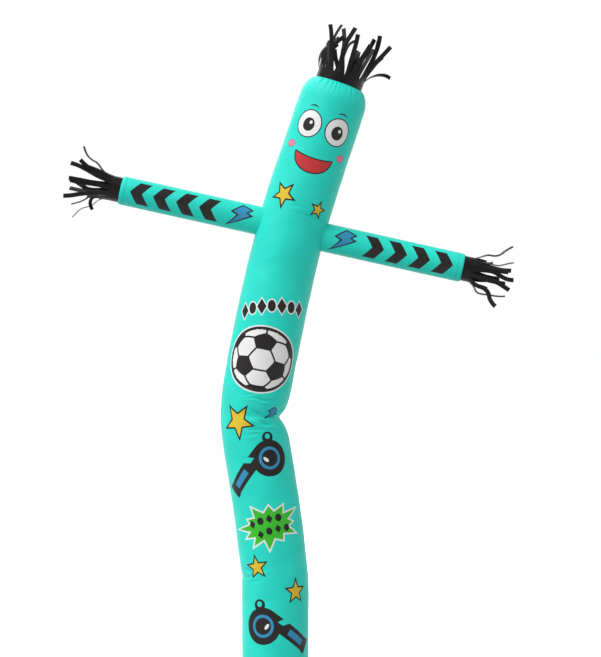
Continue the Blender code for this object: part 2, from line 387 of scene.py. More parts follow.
@dataclass(frozen=True)
class Star:
    """A five-pointed star with a thin black edge."""

    across: float
    up: float
    size: float
    degrees: float
    edge: float = 0.0034
    waist: float = 0.43

    def figures(self) -> list[Figure]:
        """The star's edge and its face."""
        flat = turned(spiked([self.size, self.size * self.waist] * 5), self.degrees)
        return bordered(flat + (self.across, self.up), Ink.YELLOW, self.edge)


@dataclass(frozen=True)
class Bolt:
    """A lightning bolt with a black edge, its point at the lower left."""

    across: float
    up: float
    size: float = 1.0
    degrees: float = 0.0
    edge: float = 0.0033
    corners: tuple[Pair, ...] = (
        (0.0040, 0.0228),
        (-0.0160, 0.0036),
        (-0.0026, -0.0018),
        (-0.0212, -0.0256),
        (0.0226, 0.0004),
        (0.0120, 0.0052),
        (0.0226, 0.0136),
    )

    def figures(self) -> list[Figure]:
        """The bolt's edge and its face."""
        face = turned(np.array(self.corners) * self.size, self.degrees, (self.across, self.up))
        return bordered(face, Ink.BLUE, self.edge)


@dataclass(frozen=True)
class Ball:
    """A plain football: black five-sided and white six-sided panels inside a white rim.

    Its panels are worked out on a ball of radius 1, with x to the right, y up and z to the viewer.
    beside is the least product of the directions of two black panels that stand side by side, and
    the three values below it are the least z, or sum of z, at which a panel or a seam is drawn.
    """

    across: float
    up: float
    half_width: float
    half_height: float
    rim: float = 0.0032
    edge: float = 0.0044
    seam: float = 0.0040
    beside: float = 0.4
    panels_from: float = -0.35
    seams_from: float = -0.2
    seam_shows_from: float = 0.05
    steps: int = 96

    @property
    def face(self) -> np.ndarray:
        """Half the width and height of the face inside the rim and the edge."""
        return np.array((self.half_width, self.half_height)) - self.rim - self.edge

    def corners(self) -> np.ndarray:
        """The middles of the twelve black panels, turned so that a white one faces the viewer.

        Returns:
            One direction a row.
        """
        golden = (1 + math.sqrt(5)) / 2
        signs = [(a, b) for a in (-1, 1) for b in (-1, 1)]
        base = np.array([np.roll((0, a, b * golden), -turn) for turn in range(3) for a, b in signs])
        base /= np.linalg.norm(base[0])
        close = sorted(range(12), key=lambda i: -float(base[i] @ base[3]))[1:6]
        pair = next((i, j) for i in close for j in close if i < j and base[i] @ base[j] > self.beside)
        out = unit(base[3] + base[pair[0]] + base[pair[1]])
        up = unit(base[3] - (base[3] @ out) * out)
        return base @ np.column_stack((np.cross(up, out), up, out))

    def figures(self) -> list[Figure]:
        """The rim, the ball's face, its seams and its black panels.

        Returns:
            The figures, from the lowest to the topmost.
        """
        corners = self.corners()
        middle = np.array((self.across, self.up))
        full = np.array((self.half_width, self.half_height))
        layers = ((full, Ink.WHITE), (full - self.rim, Ink.BLACK), (self.face, Ink.WHITE))
        made = [Figure(oval(*size, middle, self.steps), ink) for size, ink in layers]
        for i, corner in enumerate(corners):
            near = [j for j in range(12) if j != i and corner @ corners[j] > self.beside]
            if corner[2] > self.panels_from:
                rim = [unit((2 * corner + corners[j]) / 3) for j in near]
                made.append(Figure(self.panel(corner, rim) + middle, Ink.BLACK))
            for j in near:
                if i < j and corner[2] + corners[j][2] > self.seams_from:
                    made += self.seam_between(corner, corners[j], middle)
        return made

    @staticmethod
    def seen(point: np.ndarray) -> np.ndarray:
        """Where a point of the ball is seen; one behind its edge is moved to the edge."""
        return unit(point[:2]) if point[2] < 0 else point[:2]

    def panel(self, middle: np.ndarray, rim: list[np.ndarray]) -> np.ndarray:
        """One black panel as it is seen, wider by half a seam but not past the ball's face.

        Args:
            middle: The panel's middle.
            rim: Its five corners, in any order.

        Returns:
            The outline, anticlockwise, about the ball's middle.
        """
        first = rim[0] - middle
        second = np.cross(middle, first)
        rim = sorted(rim, key=lambda p: math.atan2((p - middle) @ second, (p - middle) @ first))
        made = [
            self.seen(unit(start + (end - start) * share))
            for start, end in zip(rim, rim[1:] + rim[:1])
            for share in (0.0, 0.25, 0.5, 0.75)
        ]
        wider = grown(np.array(made) * self.face, self.seam / 2, longest=1.6)
        past = np.linalg.norm(wider / self.face, axis=1, keepdims=True)
        return wider / np.maximum(past, 1.0)

    def seam_between(self, start: np.ndarray, end: np.ndarray, middle: np.ndarray) -> list[Figure]:
        """The seam that joins two black panels, as a thin strip.

        Args:
            start: One panel's middle.
            end: The other's.
            middle: The ball's middle on the cloth.

        Returns:
            The strip, or nothing where it is out of sight.
        """
        line = [unit(start + (end - start) * share) for share in np.linspace(1 / 3, 2 / 3, 6)]
        if max(point[2] for point in line) < self.seam_shows_from:
            return []
        flat = np.array([self.seen(point) * self.face for point in line])
        along = np.gradient(flat, axis=0)
        size = np.linalg.norm(along, axis=1, keepdims=True)
        across = np.column_stack((along[:, 1], -along[:, 0])) / size * self.seam / 2
        strip = np.vstack((flat + across, (flat - across)[::-1])) + middle
        return [Figure(strip, Ink.BLACK)]


@dataclass(frozen=True)
class Burst:
    """A green burst of uneven spikes with a white edge."""

    across: float
    up: float
    width: float = 0.080
    height: float = 0.052
    degrees: float = 7.0
    edge: float = 0.0034
    spikes: tuple[float, ...] = (
        0.82, 0.98, 0.74, 1.0, 0.80, 0.90, 1.0, 0.78, 0.94, 0.72, 0.98, 0.84,
    )
    hollow: float = 0.56
    first_spike: float = 82.0

    def figures(self) -> list[Figure]:
        """The burst's edge and its face."""
        radii = [value for spike in self.spikes for value in (spike, self.hollow)]
        flat = spiked(radii, self.first_spike) * (self.width, self.height)
        face = turned(flat, self.degrees, (self.across, self.up))
        return bordered(face, Ink.GREEN, self.edge, Ink.WHITE)


@dataclass(frozen=True)
class Whistle:
    """A referee's whistle, black with blue panels and a white light on its drum."""

    across: float
    up: float
    degrees: float
    mirrored: bool = False
    drum: float = 0.041
    pipe: float = 0.112
    pipe_height: float = 0.032
    lip_outside: float = 0.007
    lip_inside: float = 0.005
    lip_rise: float = 0.002
    stripe_inset: float = 0.009
    stripe_from: float = 0.012
    stripe_end: float = 0.056
    notch: tuple[Pair, ...] = ((-0.036, -0.013), (-0.022, -0.013), (-0.030, 0.001), (-0.047, 0.001))

    def disc(self, size: float, across: float = 0.0, up: float = 0.0, tall: float = 1.0) -> np.ndarray:
        """An oval, with its size and place as shares of the drum's radius."""
        return oval(self.drum * size, self.drum * size * tall, (self.drum * across, self.drum * up))

    def figures(self) -> list[Figure]:
        """The silhouette, with the eye of its lanyard, and the panels on it.

        Returns:
            The figures, from the lowest to the topmost.
        """
        high, low, end = self.drum, self.drum - self.pipe_height, -self.pipe
        inset, rise = self.stripe_inset, self.lip_rise
        parts = (
            (self.disc(0.32, 0.82, 0.80), Ink.BLACK),
            (self.disc(0.15, 0.86, 0.84), Ink.CLOTH),
            (self.disc(1.0), Ink.BLACK),
            (box(end, low, 0.0, high), Ink.BLACK),
            (box(end - self.lip_outside, low - rise, end + self.lip_inside, high + rise), Ink.BLACK),
            (np.array(self.notch) + (0.0, high), Ink.CLOTH),
            (self.disc(0.62), Ink.BLUE),
            (self.disc(0.46), Ink.BLACK),
            (self.disc(0.09, -0.20, 0.12, tall=2.0), Ink.WHITE),
            (box(end + self.stripe_from, low + inset, -self.stripe_end, high - inset), Ink.BLUE),
        )
        made = []
        for points, ink in parts:
            points = mirrored(points) if self.mirrored else points
            made.append(Figure(turned(points, self.degrees, (self.across, self.up)), ink))
        return made


@dataclass(frozen=True)
class MarkRow:
    """A row of black diamonds and discs on an arch, with or without a white edge."""

    across: float
    up: float
    count: int = 7
    pitch: float = 0.0222
    rise: float = 0.010
    degrees: float = 12.0
    diamond: Pair = (0.0108, 0.0172)
    disc: Pair = (0.0088, 0.0128)
    edge: float = 0.0026

    def figures(self) -> list[Figure]:
        """All the white edges, and then the black shapes on them."""
        shapes = []
        half = (self.count - 1) / 2
        for i in range(self.count):
            share = (i - half) / half
            place = np.array(((i - half) * self.pitch, self.rise * (1 - share**2)))
            size, steps = (self.disc, 24) if i % 2 else (self.diamond, 4)
            shapes.append(turned(oval(*size, place, steps), self.degrees, (self.across, self.up)))
        edges = [grown(shape, self.edge, longest=1.5) for shape in shapes if self.edge]
        layers = ((edges, Ink.WHITE), (shapes, Ink.BLACK))
        return [Figure(outline, ink) for outlines, ink in layers for outline in outlines]


@dataclass(frozen=True)
class PlainFace:
    """A simple face: round eyes, arched brows, pink cheeks and a half-moon smile."""

    up: float
    edge: float = 0.0025
    eye_across: float = 0.0345
    eye_up: float = 0.066
    eye: Pair = (0.0278, 0.0295)
    pupil: Pair = (0.0140, 0.0154)
    pupil_drop: float = 0.002
    light: Pair = (0.0036, 0.0040)
    light_place: Pair = (0.0042, 0.0035)
    brow_up: float = 0.0370
    brow_half_width: float = 0.0135
    brow_top: float = 0.0068
    brow_hollow: float = 0.0034
    cheek_across: float = 0.064
    cheek_up: float = 0.014
    cheek: Pair = (0.0105, 0.0075)
    cheek_edge: float = 0.0009
    smile: Pair = (0.043, 0.036)
    smile_hollow: float = 0.006
    smile_edge: float = 0.0028

    def figures(self) -> list[Figure]:
        """Both eyes with their brows, both cheeks and the mouth.

        Returns:
            The figures, from the lowest to the topmost.
        """
        made = []
        hollow = bow(self.brow_half_width, self.brow_hollow)[::-1][1:-1]
        brow = np.vstack((bow(self.brow_half_width, self.brow_top), hollow))
        for hand in (-1, 1):
            x, y = hand * self.eye_across, self.up + self.eye_up
            light_place = (x + self.light_place[0], y + self.light_place[1])
            cheek_place = (hand * self.cheek_across, self.up + self.cheek_up)
            made += bordered(oval(*self.eye, (x, y)), Ink.WHITE, self.edge)
            made.append(Figure(oval(*self.pupil, (x, y - self.pupil_drop), steps=36), Ink.BLACK))
            made.append(Figure(oval(*self.light, light_place, steps=20), Ink.WHITE))
            made.append(Figure(brow + (x, y + self.brow_up), Ink.BLACK))
            made += bordered(oval(*self.cheek, cheek_place, steps=32), Ink.PINK, self.cheek_edge)
        lower = oval(*self.smile, steps=64)[32:]
        upper = bow(self.smile[0], -self.smile_hollow)[:-1]
        mouth = np.vstack((lower, upper)) + (0.0, self.up)
        return made + bordered(mouth, Ink.RED, self.smile_edge)


@dataclass(frozen=True)
class Chevrons:
    """A row of bold black chevrons that point to the hand."""

    start: float
    hand: int
    count: int = 4
    pitch: float = 0.0520
    stroke: float = 0.0270
    depth: float = 0.0190
    half_height: float = 0.0265

    def figures(self) -> list[Figure]:
        """One outline for each chevron.

        Returns:
            The chevrons, from the body to the hand.
        """
        half, stroke, depth = self.half_height, self.stroke, self.depth
        lower = ((0.0, -half), (stroke, -half))
        upper = ((stroke, half), (0.0, half))
        shape = np.array((*lower, (stroke + depth, 0.0), *upper, (depth, 0.0)))
        rows = [shape + (self.start + i * self.pitch, 0.0) for i in range(self.count)]
        return [Figure(mirrored(row) if self.hand < 0 else row, Ink.BLACK) for row in rows]


# --- flat cloth and the mesh made from it ---------------------------------------------------------


def linked(name: str, data: bpy.types.ID) -> bpy.types.Object:
    """An object for a mesh, a light or a camera, linked to the scene."""
    obj = bpy.data.objects.new(name, data)
    bpy.context.scene.collection.objects.link(obj)
    return obj


def declare(obj: bpy.types.Object, slot: str, *nodes: str) -> None:
    """Lets a piece ride on the dancer and stand for its nodes, whose CAD parts it hides.

    Args:
        obj: The piece.
        slot: Not used.
        *nodes: The CAD nodes that it stands for.
    """
    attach(obj, BODY)
    if nodes:
        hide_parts(*nodes)
    LOG.info("%s: %d faces", obj.name, len(obj.data.polygons))


def sides_of(faces: np.ndarray) -> np.ndarray:
    """The three sides of each triangle, each as two point numbers."""
    return np.vstack([faces[:, [i, (i + 1) % 3]] for i in range(3)])


@dataclass
class FlatCloth:
    """A cut of cloth, spread flat, with its print.

    It is split into triangles along the outlines of its figures, so that each ink has a clean edge.
    """

    edge: np.ndarray
    grid: np.ndarray
    figures: list[Figure]
    holes: list[np.ndarray] = field(default_factory=list)
    outline_step: float = 0.0024
    clear_of_outline: float = 0.0013
    smallest_area: float = 1e-12
    sharp_from: float = 60.0

    def triangles(self) -> tuple[np.ndarray, np.ndarray, np.ndarray]:
        """Splits the cloth into triangles.

        Returns:
            Its points, its triangles as point numbers, and each triangle's ink as a number.
        """
        figures = [subdivided(figure.outline, self.outline_step) for figure in self.figures]
        loops = figures + self.holes
        drawn = np.vstack(loops)
        tree = kdtree.KDTree(len(drawn))
        for point in drawn:
            tree.insert((*point, 0.0), 0)
        tree.balance()
        clear = [tree.find((*point, 0.0))[2] > self.clear_of_outline for point in self.grid]
        grid = self.grid[np.array(clear)]
        parts, sides, start = (self.edge, grid, *loops), [], 0
        for part in parts:
            if part is not grid:
                sides += [(start + i, start + (i + 1) % len(part)) for i in range(len(part))]
            start += len(part)
        flat = [Vector(map(float, point)) for point in np.vstack(parts)]
        made = delaunay_2d_cdt(flat, sides, [], 0, 1e-7, False)
        places = np.array([tuple(point) for point in made[0]])
        faces = np.array([face for face in made[2] if len(face) == 3], int)
        a, b, c = (places[faces[:, i]] for i in range(3))
        area = (b - a)[:, 0] * (c - a)[:, 1] - (b - a)[:, 1] * (c - a)[:, 0]
        faces[area < 0] = faces[area < 0][:, ::-1]
        middle = (a + b + c) / 3
        keep = (np.abs(area) > self.smallest_area) & inside(middle, self.edge)
        for hole in self.holes:
            keep &= ~inside(middle, hole)
        faces, middle = faces[keep], middle[keep]
        inks = list(Ink)
        colour = np.zeros(len(faces), int)
        for figure, outline in zip(self.figures, figures):
            colour[inside(middle, outline)] = inks.index(figure.ink)
        return places, faces, colour

    def wrapped(
        self,
        name: str,
        surface: Callable[[np.ndarray, float], np.ndarray],
        thickness: float,
        materials: Sequence[bpy.types.Material],
        seam_of: Callable[[np.ndarray], np.ndarray],
    ) -> bpy.types.Object:
        """Wraps the cloth round its tube, with an outer and an inner face.

        Args:
            name: The object's name.
            surface: Gives the place of flat points, set in from the outer face by a length.
            thickness: The cloth's thickness.
            materials: One material for each ink, in Ink's order.
            seam_of: Gives each point a key; points with one key become one.

        Returns:
            The finished object.
        """
        flat, faces, inks = self.triangles()
        keys = np.round(seam_of(flat) * (1 / WELD)).astype(np.int64)
        _, first, same = np.unique(keys, axis=0, return_index=True, return_inverse=True)
        kept, count = flat[first], len(first)
        joined = same.reshape(-1)[faces]
        sides = sides_of(joined)
        seen = {(int(a), int(b)) for a, b in sides}
        rim = [i for i, (a, b) in enumerate(sides) if (int(b), int(a)) not in seen]
        start, end = sides[rim].T
        quads = np.column_stack((end, start, start + count, end + count))
        rim_flat = sides_of(faces)[rim][:, [1, 0, 0, 1]]
        loops = np.concatenate((joined.ravel(), (joined[:, ::-1] + count).ravel(), quads.ravel()))
        flat_loops = np.concatenate((faces.ravel(), faces[:, ::-1].ravel(), rim_flat.ravel()))
        sizes = np.concatenate((np.full(2 * len(faces), 3), np.full(len(quads), 4)))
        slots = np.concatenate((inks, np.zeros(len(faces) + len(quads), int)))
        places = np.vstack((surface(kept, 0.0), surface(kept, thickness)))
        mesh = bpy.data.meshes.new(name)
        mesh.vertices.add(len(places))
        mesh.vertices.foreach_set("co", places.astype(np.float32).ravel())
        mesh.loops.add(len(loops))
        mesh.loops.foreach_set("vertex_index", loops.astype(np.int32))
        mesh.polygons.add(len(sizes))
        mesh.polygons.foreach_set("loop_start", (np.cumsum(sizes) - sizes).astype(np.int32))
        mesh.polygons.foreach_set("material_index", slots.astype(np.int32))
        mesh.update(calc_edges=True)
        mesh.validate()
        layer = mesh.uv_layers.new(name=FLAT_MAP)
        layer.data.foreach_set("uv", flat[flat_loops].astype(np.float32).ravel())
        for material in materials:
            mesh.materials.append(material)
        mesh.shade_smooth()
        mesh.set_sharp_from_angle(angle=math.radians(self.sharp_from))
        return linked(name, mesh)


# --- the tube ----------------------------------------------------------------------------------


@dataclass(frozen=True)
class Station:
    """A cross-section of the body: the height and side shift of its centre, and its radius."""

    height: float
    side: float
    radius: float


class Part(Enum):
    """What a station gives besides its height, as its place in the station."""

    SIDE = 1
    RADIUS = 2


@dataclass(frozen=True)
class Fold:
    """A crease that runs in from one side; turn is measured from the front to the right."""

    height: float
    turn: float
    depth: float
    above: float
    below: float
    spread: float


@dataclass(frozen=True)
class Crease:
    """A soft trough in the cloth, with a ridge below it: millimetres on the flat cloth."""

    across: float
    up: float
    length: float
    width: float
    depth: float
    slant: float = 0.0
    bow: float = 0.0
    ridge: float = 0.6
    ridge_drop: float = 1.7


@dataclass(frozen=True)
class Dent:
    """A broad shallow dip: millimetres on the flat cloth."""

    across: float
    up: float
    width: float
    height: float
    depth: float


@dataclass(frozen=True)
class Rows:
    """A stretch of the flat cloth, with the spacing of its points up and across."""

    low: float
    high: float
    step: float
    column: float


STATIONS = (
    Station(0.000, 0.0000, 0.0740),
    Station(0.150, 0.0000, 0.0740),
    Station(0.260, -0.0002, 0.0740),
    Station(0.302, -0.0022, 0.0742),
    Station(0.436, -0.0178, 0.0745),
    Station(0.590, -0.0418, 0.0750),
    Station(0.650, -0.0462, 0.0755),
    Station(0.702, -0.0422, 0.0758),
    Station(0.836, -0.0167, 0.0765),
    Station(0.996, 0.0184, 0.0760),
    Station(1.129, 0.0549, 0.0755),
    Station(1.289, 0.1078, 0.0750),
    Station(1.3855, 0.1404, 0.0745),
)


def around(turns: np.ndarray, side: np.ndarray) -> np.ndarray:
    """The direction at each turn from the front to a side."""
    return np.sin(turns)[:, None] * side + np.cos(turns)[:, None] * FRONT


class Spine:
    """The smooth line up the middle of the body."""

    def __init__(self, stations: Sequence[Station], readings: int = 4001) -> None:
        """Fits the line through the stations.

        Args:
            stations: The cross-sections, from the lowest.
            readings: At how many heights its length is read.
        """
        self.rows = np.array([(row.height, row.side, row.radius) for row in stations])
        last = len(stations) - 1
        low = np.maximum(np.arange(last + 1) - 1, 0)
        high = np.minimum(np.arange(last + 1) + 1, last)
        rise = self.rows[high, 0] - self.rows[low, 0]
        self.slopes = (self.rows[high] - self.rows[low]) / rise[:, None]
        self.top = float(self.rows[-1, 0])
        self.fine = np.linspace(0.0, self.top, readings)
        steps = np.hypot(np.diff(self.fine), np.diff(self.value(self.fine, Part.SIDE)))
        self.lengths = np.concatenate(((0.0,), np.cumsum(steps)))
        self.length = float(self.lengths[-1])

    def value(self, heights: np.ndarray, part: Part) -> np.ndarray:
        """The side shift or the radius at each height.

        Args:
            heights: The heights.
            part: Which of the two.

        Returns:
            The values.
        """
        heights = np.clip(heights, 0.0, self.top)
        row = np.clip(np.searchsorted(self.rows[:, 0], heights) - 1, 0, len(self.rows) - 2)
        low, high = self.rows[row], self.rows[row + 1]
        span = high[:, 0] - low[:, 0]
        t = (heights - low[:, 0]) / span
        return (
            (2 * t**3 - 3 * t**2 + 1) * low[:, part.value]
            + (t**3 - 2 * t**2 + t) * span * self.slopes[row, part.value]
            + (3 * t**2 - 2 * t**3) * high[:, part.value]
            + (t**3 - t**2) * span * self.slopes[row + 1, part.value]
        )

    def centre(self, heights: np.ndarray) -> np.ndarray:
        """The line's point at each height."""
        return np.column_stack((self.value(heights, Part.SIDE), np.zeros(len(heights)), heights))

    def directions(self, heights: np.ndarray, step: float = 0.0005) -> tuple[np.ndarray, np.ndarray]:
        """The direction up the line, and across it to the right, at each height.

        Args:
            heights: The heights.
            step: How far above and below the line is read.

        Returns:
            Two unit vectors for each height.
        """
        above, below = np.minimum(heights + step, self.top), np.maximum(heights - step, 0.0)
        rise = self.centre(above) - self.centre(below)
        along = rise / np.linalg.norm(rise, axis=1, keepdims=True)
        return along, np.column_stack((along[:, 2], np.zeros(len(heights)), -along[:, 0]))

    def height_at(self, lengths: np.ndarray) -> np.ndarray:
        """The height reached after going this far up the line."""
        return np.interp(lengths, self.lengths, self.fine)

    def length_at(self, heights: np.ndarray | float) -> np.ndarray | float:
        """How far up the line a height lies."""
        return np.interp(heights, self.fine, self.lengths)

    def flattened(
        self, points: np.ndarray, rounds: int = 8
    ) -> tuple[np.ndarray, np.ndarray, np.ndarray]:
        """Finds where points lie about the line.

        Args:
            points: Places in the model.
            rounds: How often the heights are put right.

        Returns:
            Each point's height on the line, its turn from the front to the right, and its distance.
        """
        heights = points[:, 2].copy()
        for _ in range(rounds):
            along, _ = self.directions(heights)
            heights += ((points - self.centre(heights)) * along).sum(1)
        _, side = self.directions(heights)
        away = points - self.centre(heights)
        return heights, np.arctan2((away * side).sum(1), away @ FRONT), np.linalg.norm(away, axis=1)


@dataclass
class BodyTube:
    """The printed tube: a mouth with a hem, a buckled waist, and a head gathered into its band."""

    spine: Spine
    thickness: float = 0.0007
    round_radius: float = 0.0755
    neck_radius: float = 0.0545
    shoulder_height: float = 0.040
    shoulder_fullness: float = 0.76
    hem_height: float = 0.025
    hem_extra: float = 0.0009
    hem_step: float = 0.0002
    seam_half_width: float = 0.0045
    seam_height: float = 0.0006
    seam_clearance: float = 0.001
    pleat_count: int = 31
    pleat_depth: float = 0.0018
    pleat_reach: float = 0.0058
    fold_power: float = 1.25
    ripple: float = 0.26
    swell: float = 0.30
    folds: tuple[Fold, ...] = (
        Fold(height=0.6460, turn=90, depth=0.0200, above=0.0218, below=0.0270, spread=58),
        Fold(height=0.3020, turn=-90, depth=0.0030, above=0.0120, below=0.0120, spread=40),
        Fold(height=1.0950, turn=35, depth=0.0025, above=0.0100, below=0.0100, spread=25),
    )
    creases: tuple[Crease, ...] = (
        Crease(-12, 700, 17, 3.4, 1, 16, 2),
        Crease(-2, 694, 16, 2.6, 1.6, 2, -2),
        Crease(19, 690, 15, 3.2, 2.5, -3, 3),
        Crease(46, 690, 12, 4.0, 0.87, 14),
        Crease(6, 661, 17, 4.6, 2.6, -22, 2, 0.9),
        Crease(38, 651, 30, 2.8, 2.9, 0, 2, 0.8),
        Crease(70, 668, 20, 4.0, 2, 24, 2),
        Crease(28, 634, 15, 3.6, 2.8, -14, 2),
        Crease(62, 628, 18, 4.2, 1.9, -30, -2),
        Crease(8, 624, 15, 2.6, 1.7, -7, -2),
        Crease(-6, 614, 16, 3.4, 1, 4, 2),
        Crease(4, 655, 24, 7.4, 3.4, -8),
        Crease(1, 1125, 14, 3.4, 0.8, 10, -2),
        Crease(22, 1110, 17, 3.0, 1.0, -3, 2),
        Crease(34, 1098, 15, 4.0, 0.7, -12),
        Crease(-66, 315, 18, 3.4, 1.3, -4, 2),
        Crease(-62, 301, 18, 3.2, 1.4, 8, -2),
        Crease(-46, 290, 14, 4.0, 0.7, 14),
        Crease(-26, 315, 26, 5.0, 0.8, 16),
        Crease(-40, 1010, 20, 7.0, 0.8, 34),
        Crease(-24, 962, 22, 8.0, 0.8, -28),
    )
    dents: tuple[Dent, ...] = (
        Dent(0, 972, 84, 46, 4.4),
        Dent(-34, 986, 24, 15, 1.2),
        Dent(12, 950, 28, 20, 1.2),
        Dent(-6, 1024, 20, 13, -0.8),
        Dent(40, 1192, 22, 18, 1.0),
        Dent(-44, 1202, 20, 24, 0.9),
        Dent(30, 1065, 24, 22, -0.8),
        Dent(-20, 842, 26, 16, 0.9),
        Dent(40, 730, 26, 18, 1.0),
        Dent(-48, 700, 22, 20, 0.9),
        Dent(30, 590, 24, 22, 1.2),
        Dent(-44, 560, 22, 26, 1.2),
        Dent(46, 478, 24, 20, 1.2),
        Dent(-30, 480, 26, 18, 1.2),
        Dent(24, 330, 24, 22, 1.5),
        Dent(50, 306, 16, 24, -1.0),
        Dent(-40, 370, 22, 20, -1.0),
        Dent(-14, 246, 26, 18, 1.3),
        Dent(10, 120, 30, 26, 1.2),
    )
    rows: tuple[Rows, ...] = (
        Rows(0.0, 0.276, 0.0052, 0.0050),
        Rows(0.276, 0.334, 0.0018, 0.0044),
        Rows(0.334, 0.594, 0.0052, 0.0050),
        Rows(0.594, 0.716, 0.0015, 0.0040),
        Rows(0.716, 1.096, 0.0052, 0.0050),
        Rows(1.096, 1.134, 0.0018, 0.0044),
        Rows(1.134, 1.370, 0.0052, 0.0050),
    )
    hem_column: float = 0.0050
    waist_column: float = 0.0040
    shoulder_column: float = 0.0023
    shoulder_steps: tuple[float, ...] = (
        38.0, 34.0, 30.0, 26.0, 22.0, 18.5, 15.2, 12.2, 9.6,
        7.4, 5.6, 4.1, 2.9, 1.9, 1.1, 0.5, 0.15, 0.0,
    )

    @property
    def half_width(self) -> float:
        """Half the flat cloth's width."""
        return math.pi * self.round_radius

    def radius(self, flat: np.ndarray, heights: np.ndarray) -> np.ndarray:
        """The outer face's radius.

        Args:
            flat: Points on the flat cloth.
            heights: Their heights on the spine.

        Returns:
            The radius at each point.
        """
        turn = flat[:, 0] / self.round_radius
        radius = self.spine.value(heights, Part.RADIUS)
        below_top = self.spine.top - heights
        rise = 1.0 - (1.0 - np.clip(below_top / self.shoulder_height, 0, 1)) ** 2
        narrow = self.neck_radius + (radius - self.neck_radius) * rise**self.shoulder_fullness
        radius = np.where(below_top < self.shoulder_height, narrow, radius)
        for fold in self.folds:
            away = np.abs(heights - fold.height)
            away /= np.where(heights > fold.height, fold.above, fold.below)
            side = np.remainder(turn - math.radians(fold.turn) + math.pi, math.tau) - math.pi
            spread = (side / math.radians(fold.spread)) ** 2
            radius -= fold.depth * np.exp(-(away**self.fold_power) - spread)
        radius -= self.creased(flat) + self.pleated(turn, below_top)
        beside = self.half_width - np.abs(flat[:, 0])
        return radius + self.seam_height * np.clip(2 - 2 * beside / self.seam_half_width, 0, 1)

    def creased(self, flat: np.ndarray) -> np.ndarray:
        """How far the creases, the dents and the cloth's own slow waves draw it in.

        Args:
            flat: Points on the flat cloth.

        Returns:
            The depth at each point.
        """
        # The slow waves fade out towards the seam at the back. Their lengths are in millimetres.
        places = flat / MM
        x, y = places.T
        aslant = np.sin(x / 13.0 + 1.7 * np.sin(y / 31.0))
        depth = self.ripple * aslant * np.sin(y / 17.0 + np.sin(x / 23.0))
        depth += self.swell * np.sin(y / 29.0 + x / 37.0 + 1.4 * np.sin(y / 53.0))
        depth *= MM * np.clip(4 - 4 * np.abs(flat[:, 0]) / self.half_width, 0, 1)
        for crease in self.creases:
            local = turned(places - (crease.across, crease.up), -crease.slant)
            share = (local[:, 0] / crease.length) ** 2
            beside = (local[:, 1] - crease.bow * share) / crease.width
            trough = np.exp(-(beside**2)) - crease.ridge * np.exp(-((beside + crease.ridge_drop) ** 2))
            depth += crease.depth * MM * np.exp(-share) * trough
        for dent in self.dents:
            local = (places - (dent.across, dent.up)) / (dent.width, dent.height)
            depth += dent.depth * MM * np.exp(-(local**2).sum(1))
        return depth

    def pleated(self, turn: np.ndarray, below_top: np.ndarray) -> np.ndarray:
        """How far the gathers under the band draw the cloth in.

        Args:
            turn: The turn from the front.
            below_top: The height below the band.

        Returns:
            The depth at each point.
        """
        # Gathers are never even, so both their depth and their spacing vary round the neck.
        share = below_top / self.pleat_reach
        fade = share * np.exp(1.0 - share)
        uneven = 0.55 + 0.35 * np.cos(5 * turn + 2.2) + 0.3 * np.cos(11 * turn + 0.6)
        phase = self.pleat_count * turn + 2.2 * np.sin(4 * turn) + 0.9 * np.sin(9 * turn + 1.0)
        return self.pleat_depth * uneven * np.cos(phase) * fade

    def surface(self, flat: np.ndarray, inset: float) -> np.ndarray:
        """Wraps flat points round the spine.

        Args:
            flat: Points on the flat cloth.
            inset: How far they lie inside the outer face.

        Returns:
            Their places in the model.
        """
        heights = self.spine.height_at(flat[:, 1])
        radius = self.radius(flat, heights) - inset
        if inset > 0:
            radius -= self.hem_extra * (flat[:, 1] < self.hem_height)
        _, side = self.spine.directions(heights)
        out = around(flat[:, 0] / self.round_radius, side)
        return self.spine.centre(heights) + radius[:, None] * out

    def heights(self) -> list[Pair]:
        """Each row of the grid: its place up the cloth and its column spacing.

        Returns:
            The rows, from the mouth to the neck.
        """
        made = []
        for rows in self.rows:
            count = max(1, round((rows.high - rows.low) / rows.step))
            places = [rows.low + (rows.high - rows.low) * i / count for i in range(count)]
            made += [(place, rows.column) for place in places]
        made.append((self.spine.length_at(self.folds[0].height), self.waist_column))
        made.append((self.hem_height - self.hem_step, self.hem_column))
        steps = [self.spine.top - step * MM for step in self.shoulder_steps]
        made += [(self.spine.length_at(step), self.shoulder_column) for step in steps]
        return sorted(made)

    def cloth(self, holes: list[np.ndarray], figures: list[Figure]) -> FlatCloth:
        """Lays out the flat cloth.

        Args:
            holes: Outlines of the holes into the sleeves.
            figures: The print.

        Returns:
            The cut of cloth.
        """
        half, seam = self.half_width, self.half_width - self.seam_half_width
        lines = np.array((seam, half - self.seam_half_width / 2))
        grid, heights = [], self.heights()
        for up, column in heights:
            across = np.linspace(-half, half, round(2 * half / column) + 1)[1:-1]
            across = across[np.abs(across) < seam - self.seam_clearance]
            across = np.sort(np.concatenate((across, lines, -lines)))
            grid.append(np.column_stack((across, np.full(len(across), up))))
        right = np.array([(half, up) for up, _ in heights])
        left = mirrored(right)
        edge = np.vstack((left[-1:], grid[0], right, grid[-1][::-1], left[:-1]))
        rows = np.vstack(grid[1:-1])
        keep = np.ones(len(rows), bool)
        for hole in holes:
            keep &= ~inside(rows, hole)
        return FlatCloth(edge, rows[keep], figures, holes)

    def seam_key(self, flat: np.ndarray) -> np.ndarray:
        """Gives both sides of the back seam one key."""
        across = np.where(flat[:, 0] > self.half_width - WELD, -self.half_width, flat[:, 0])
        return np.column_stack((across, flat[:, 1]))

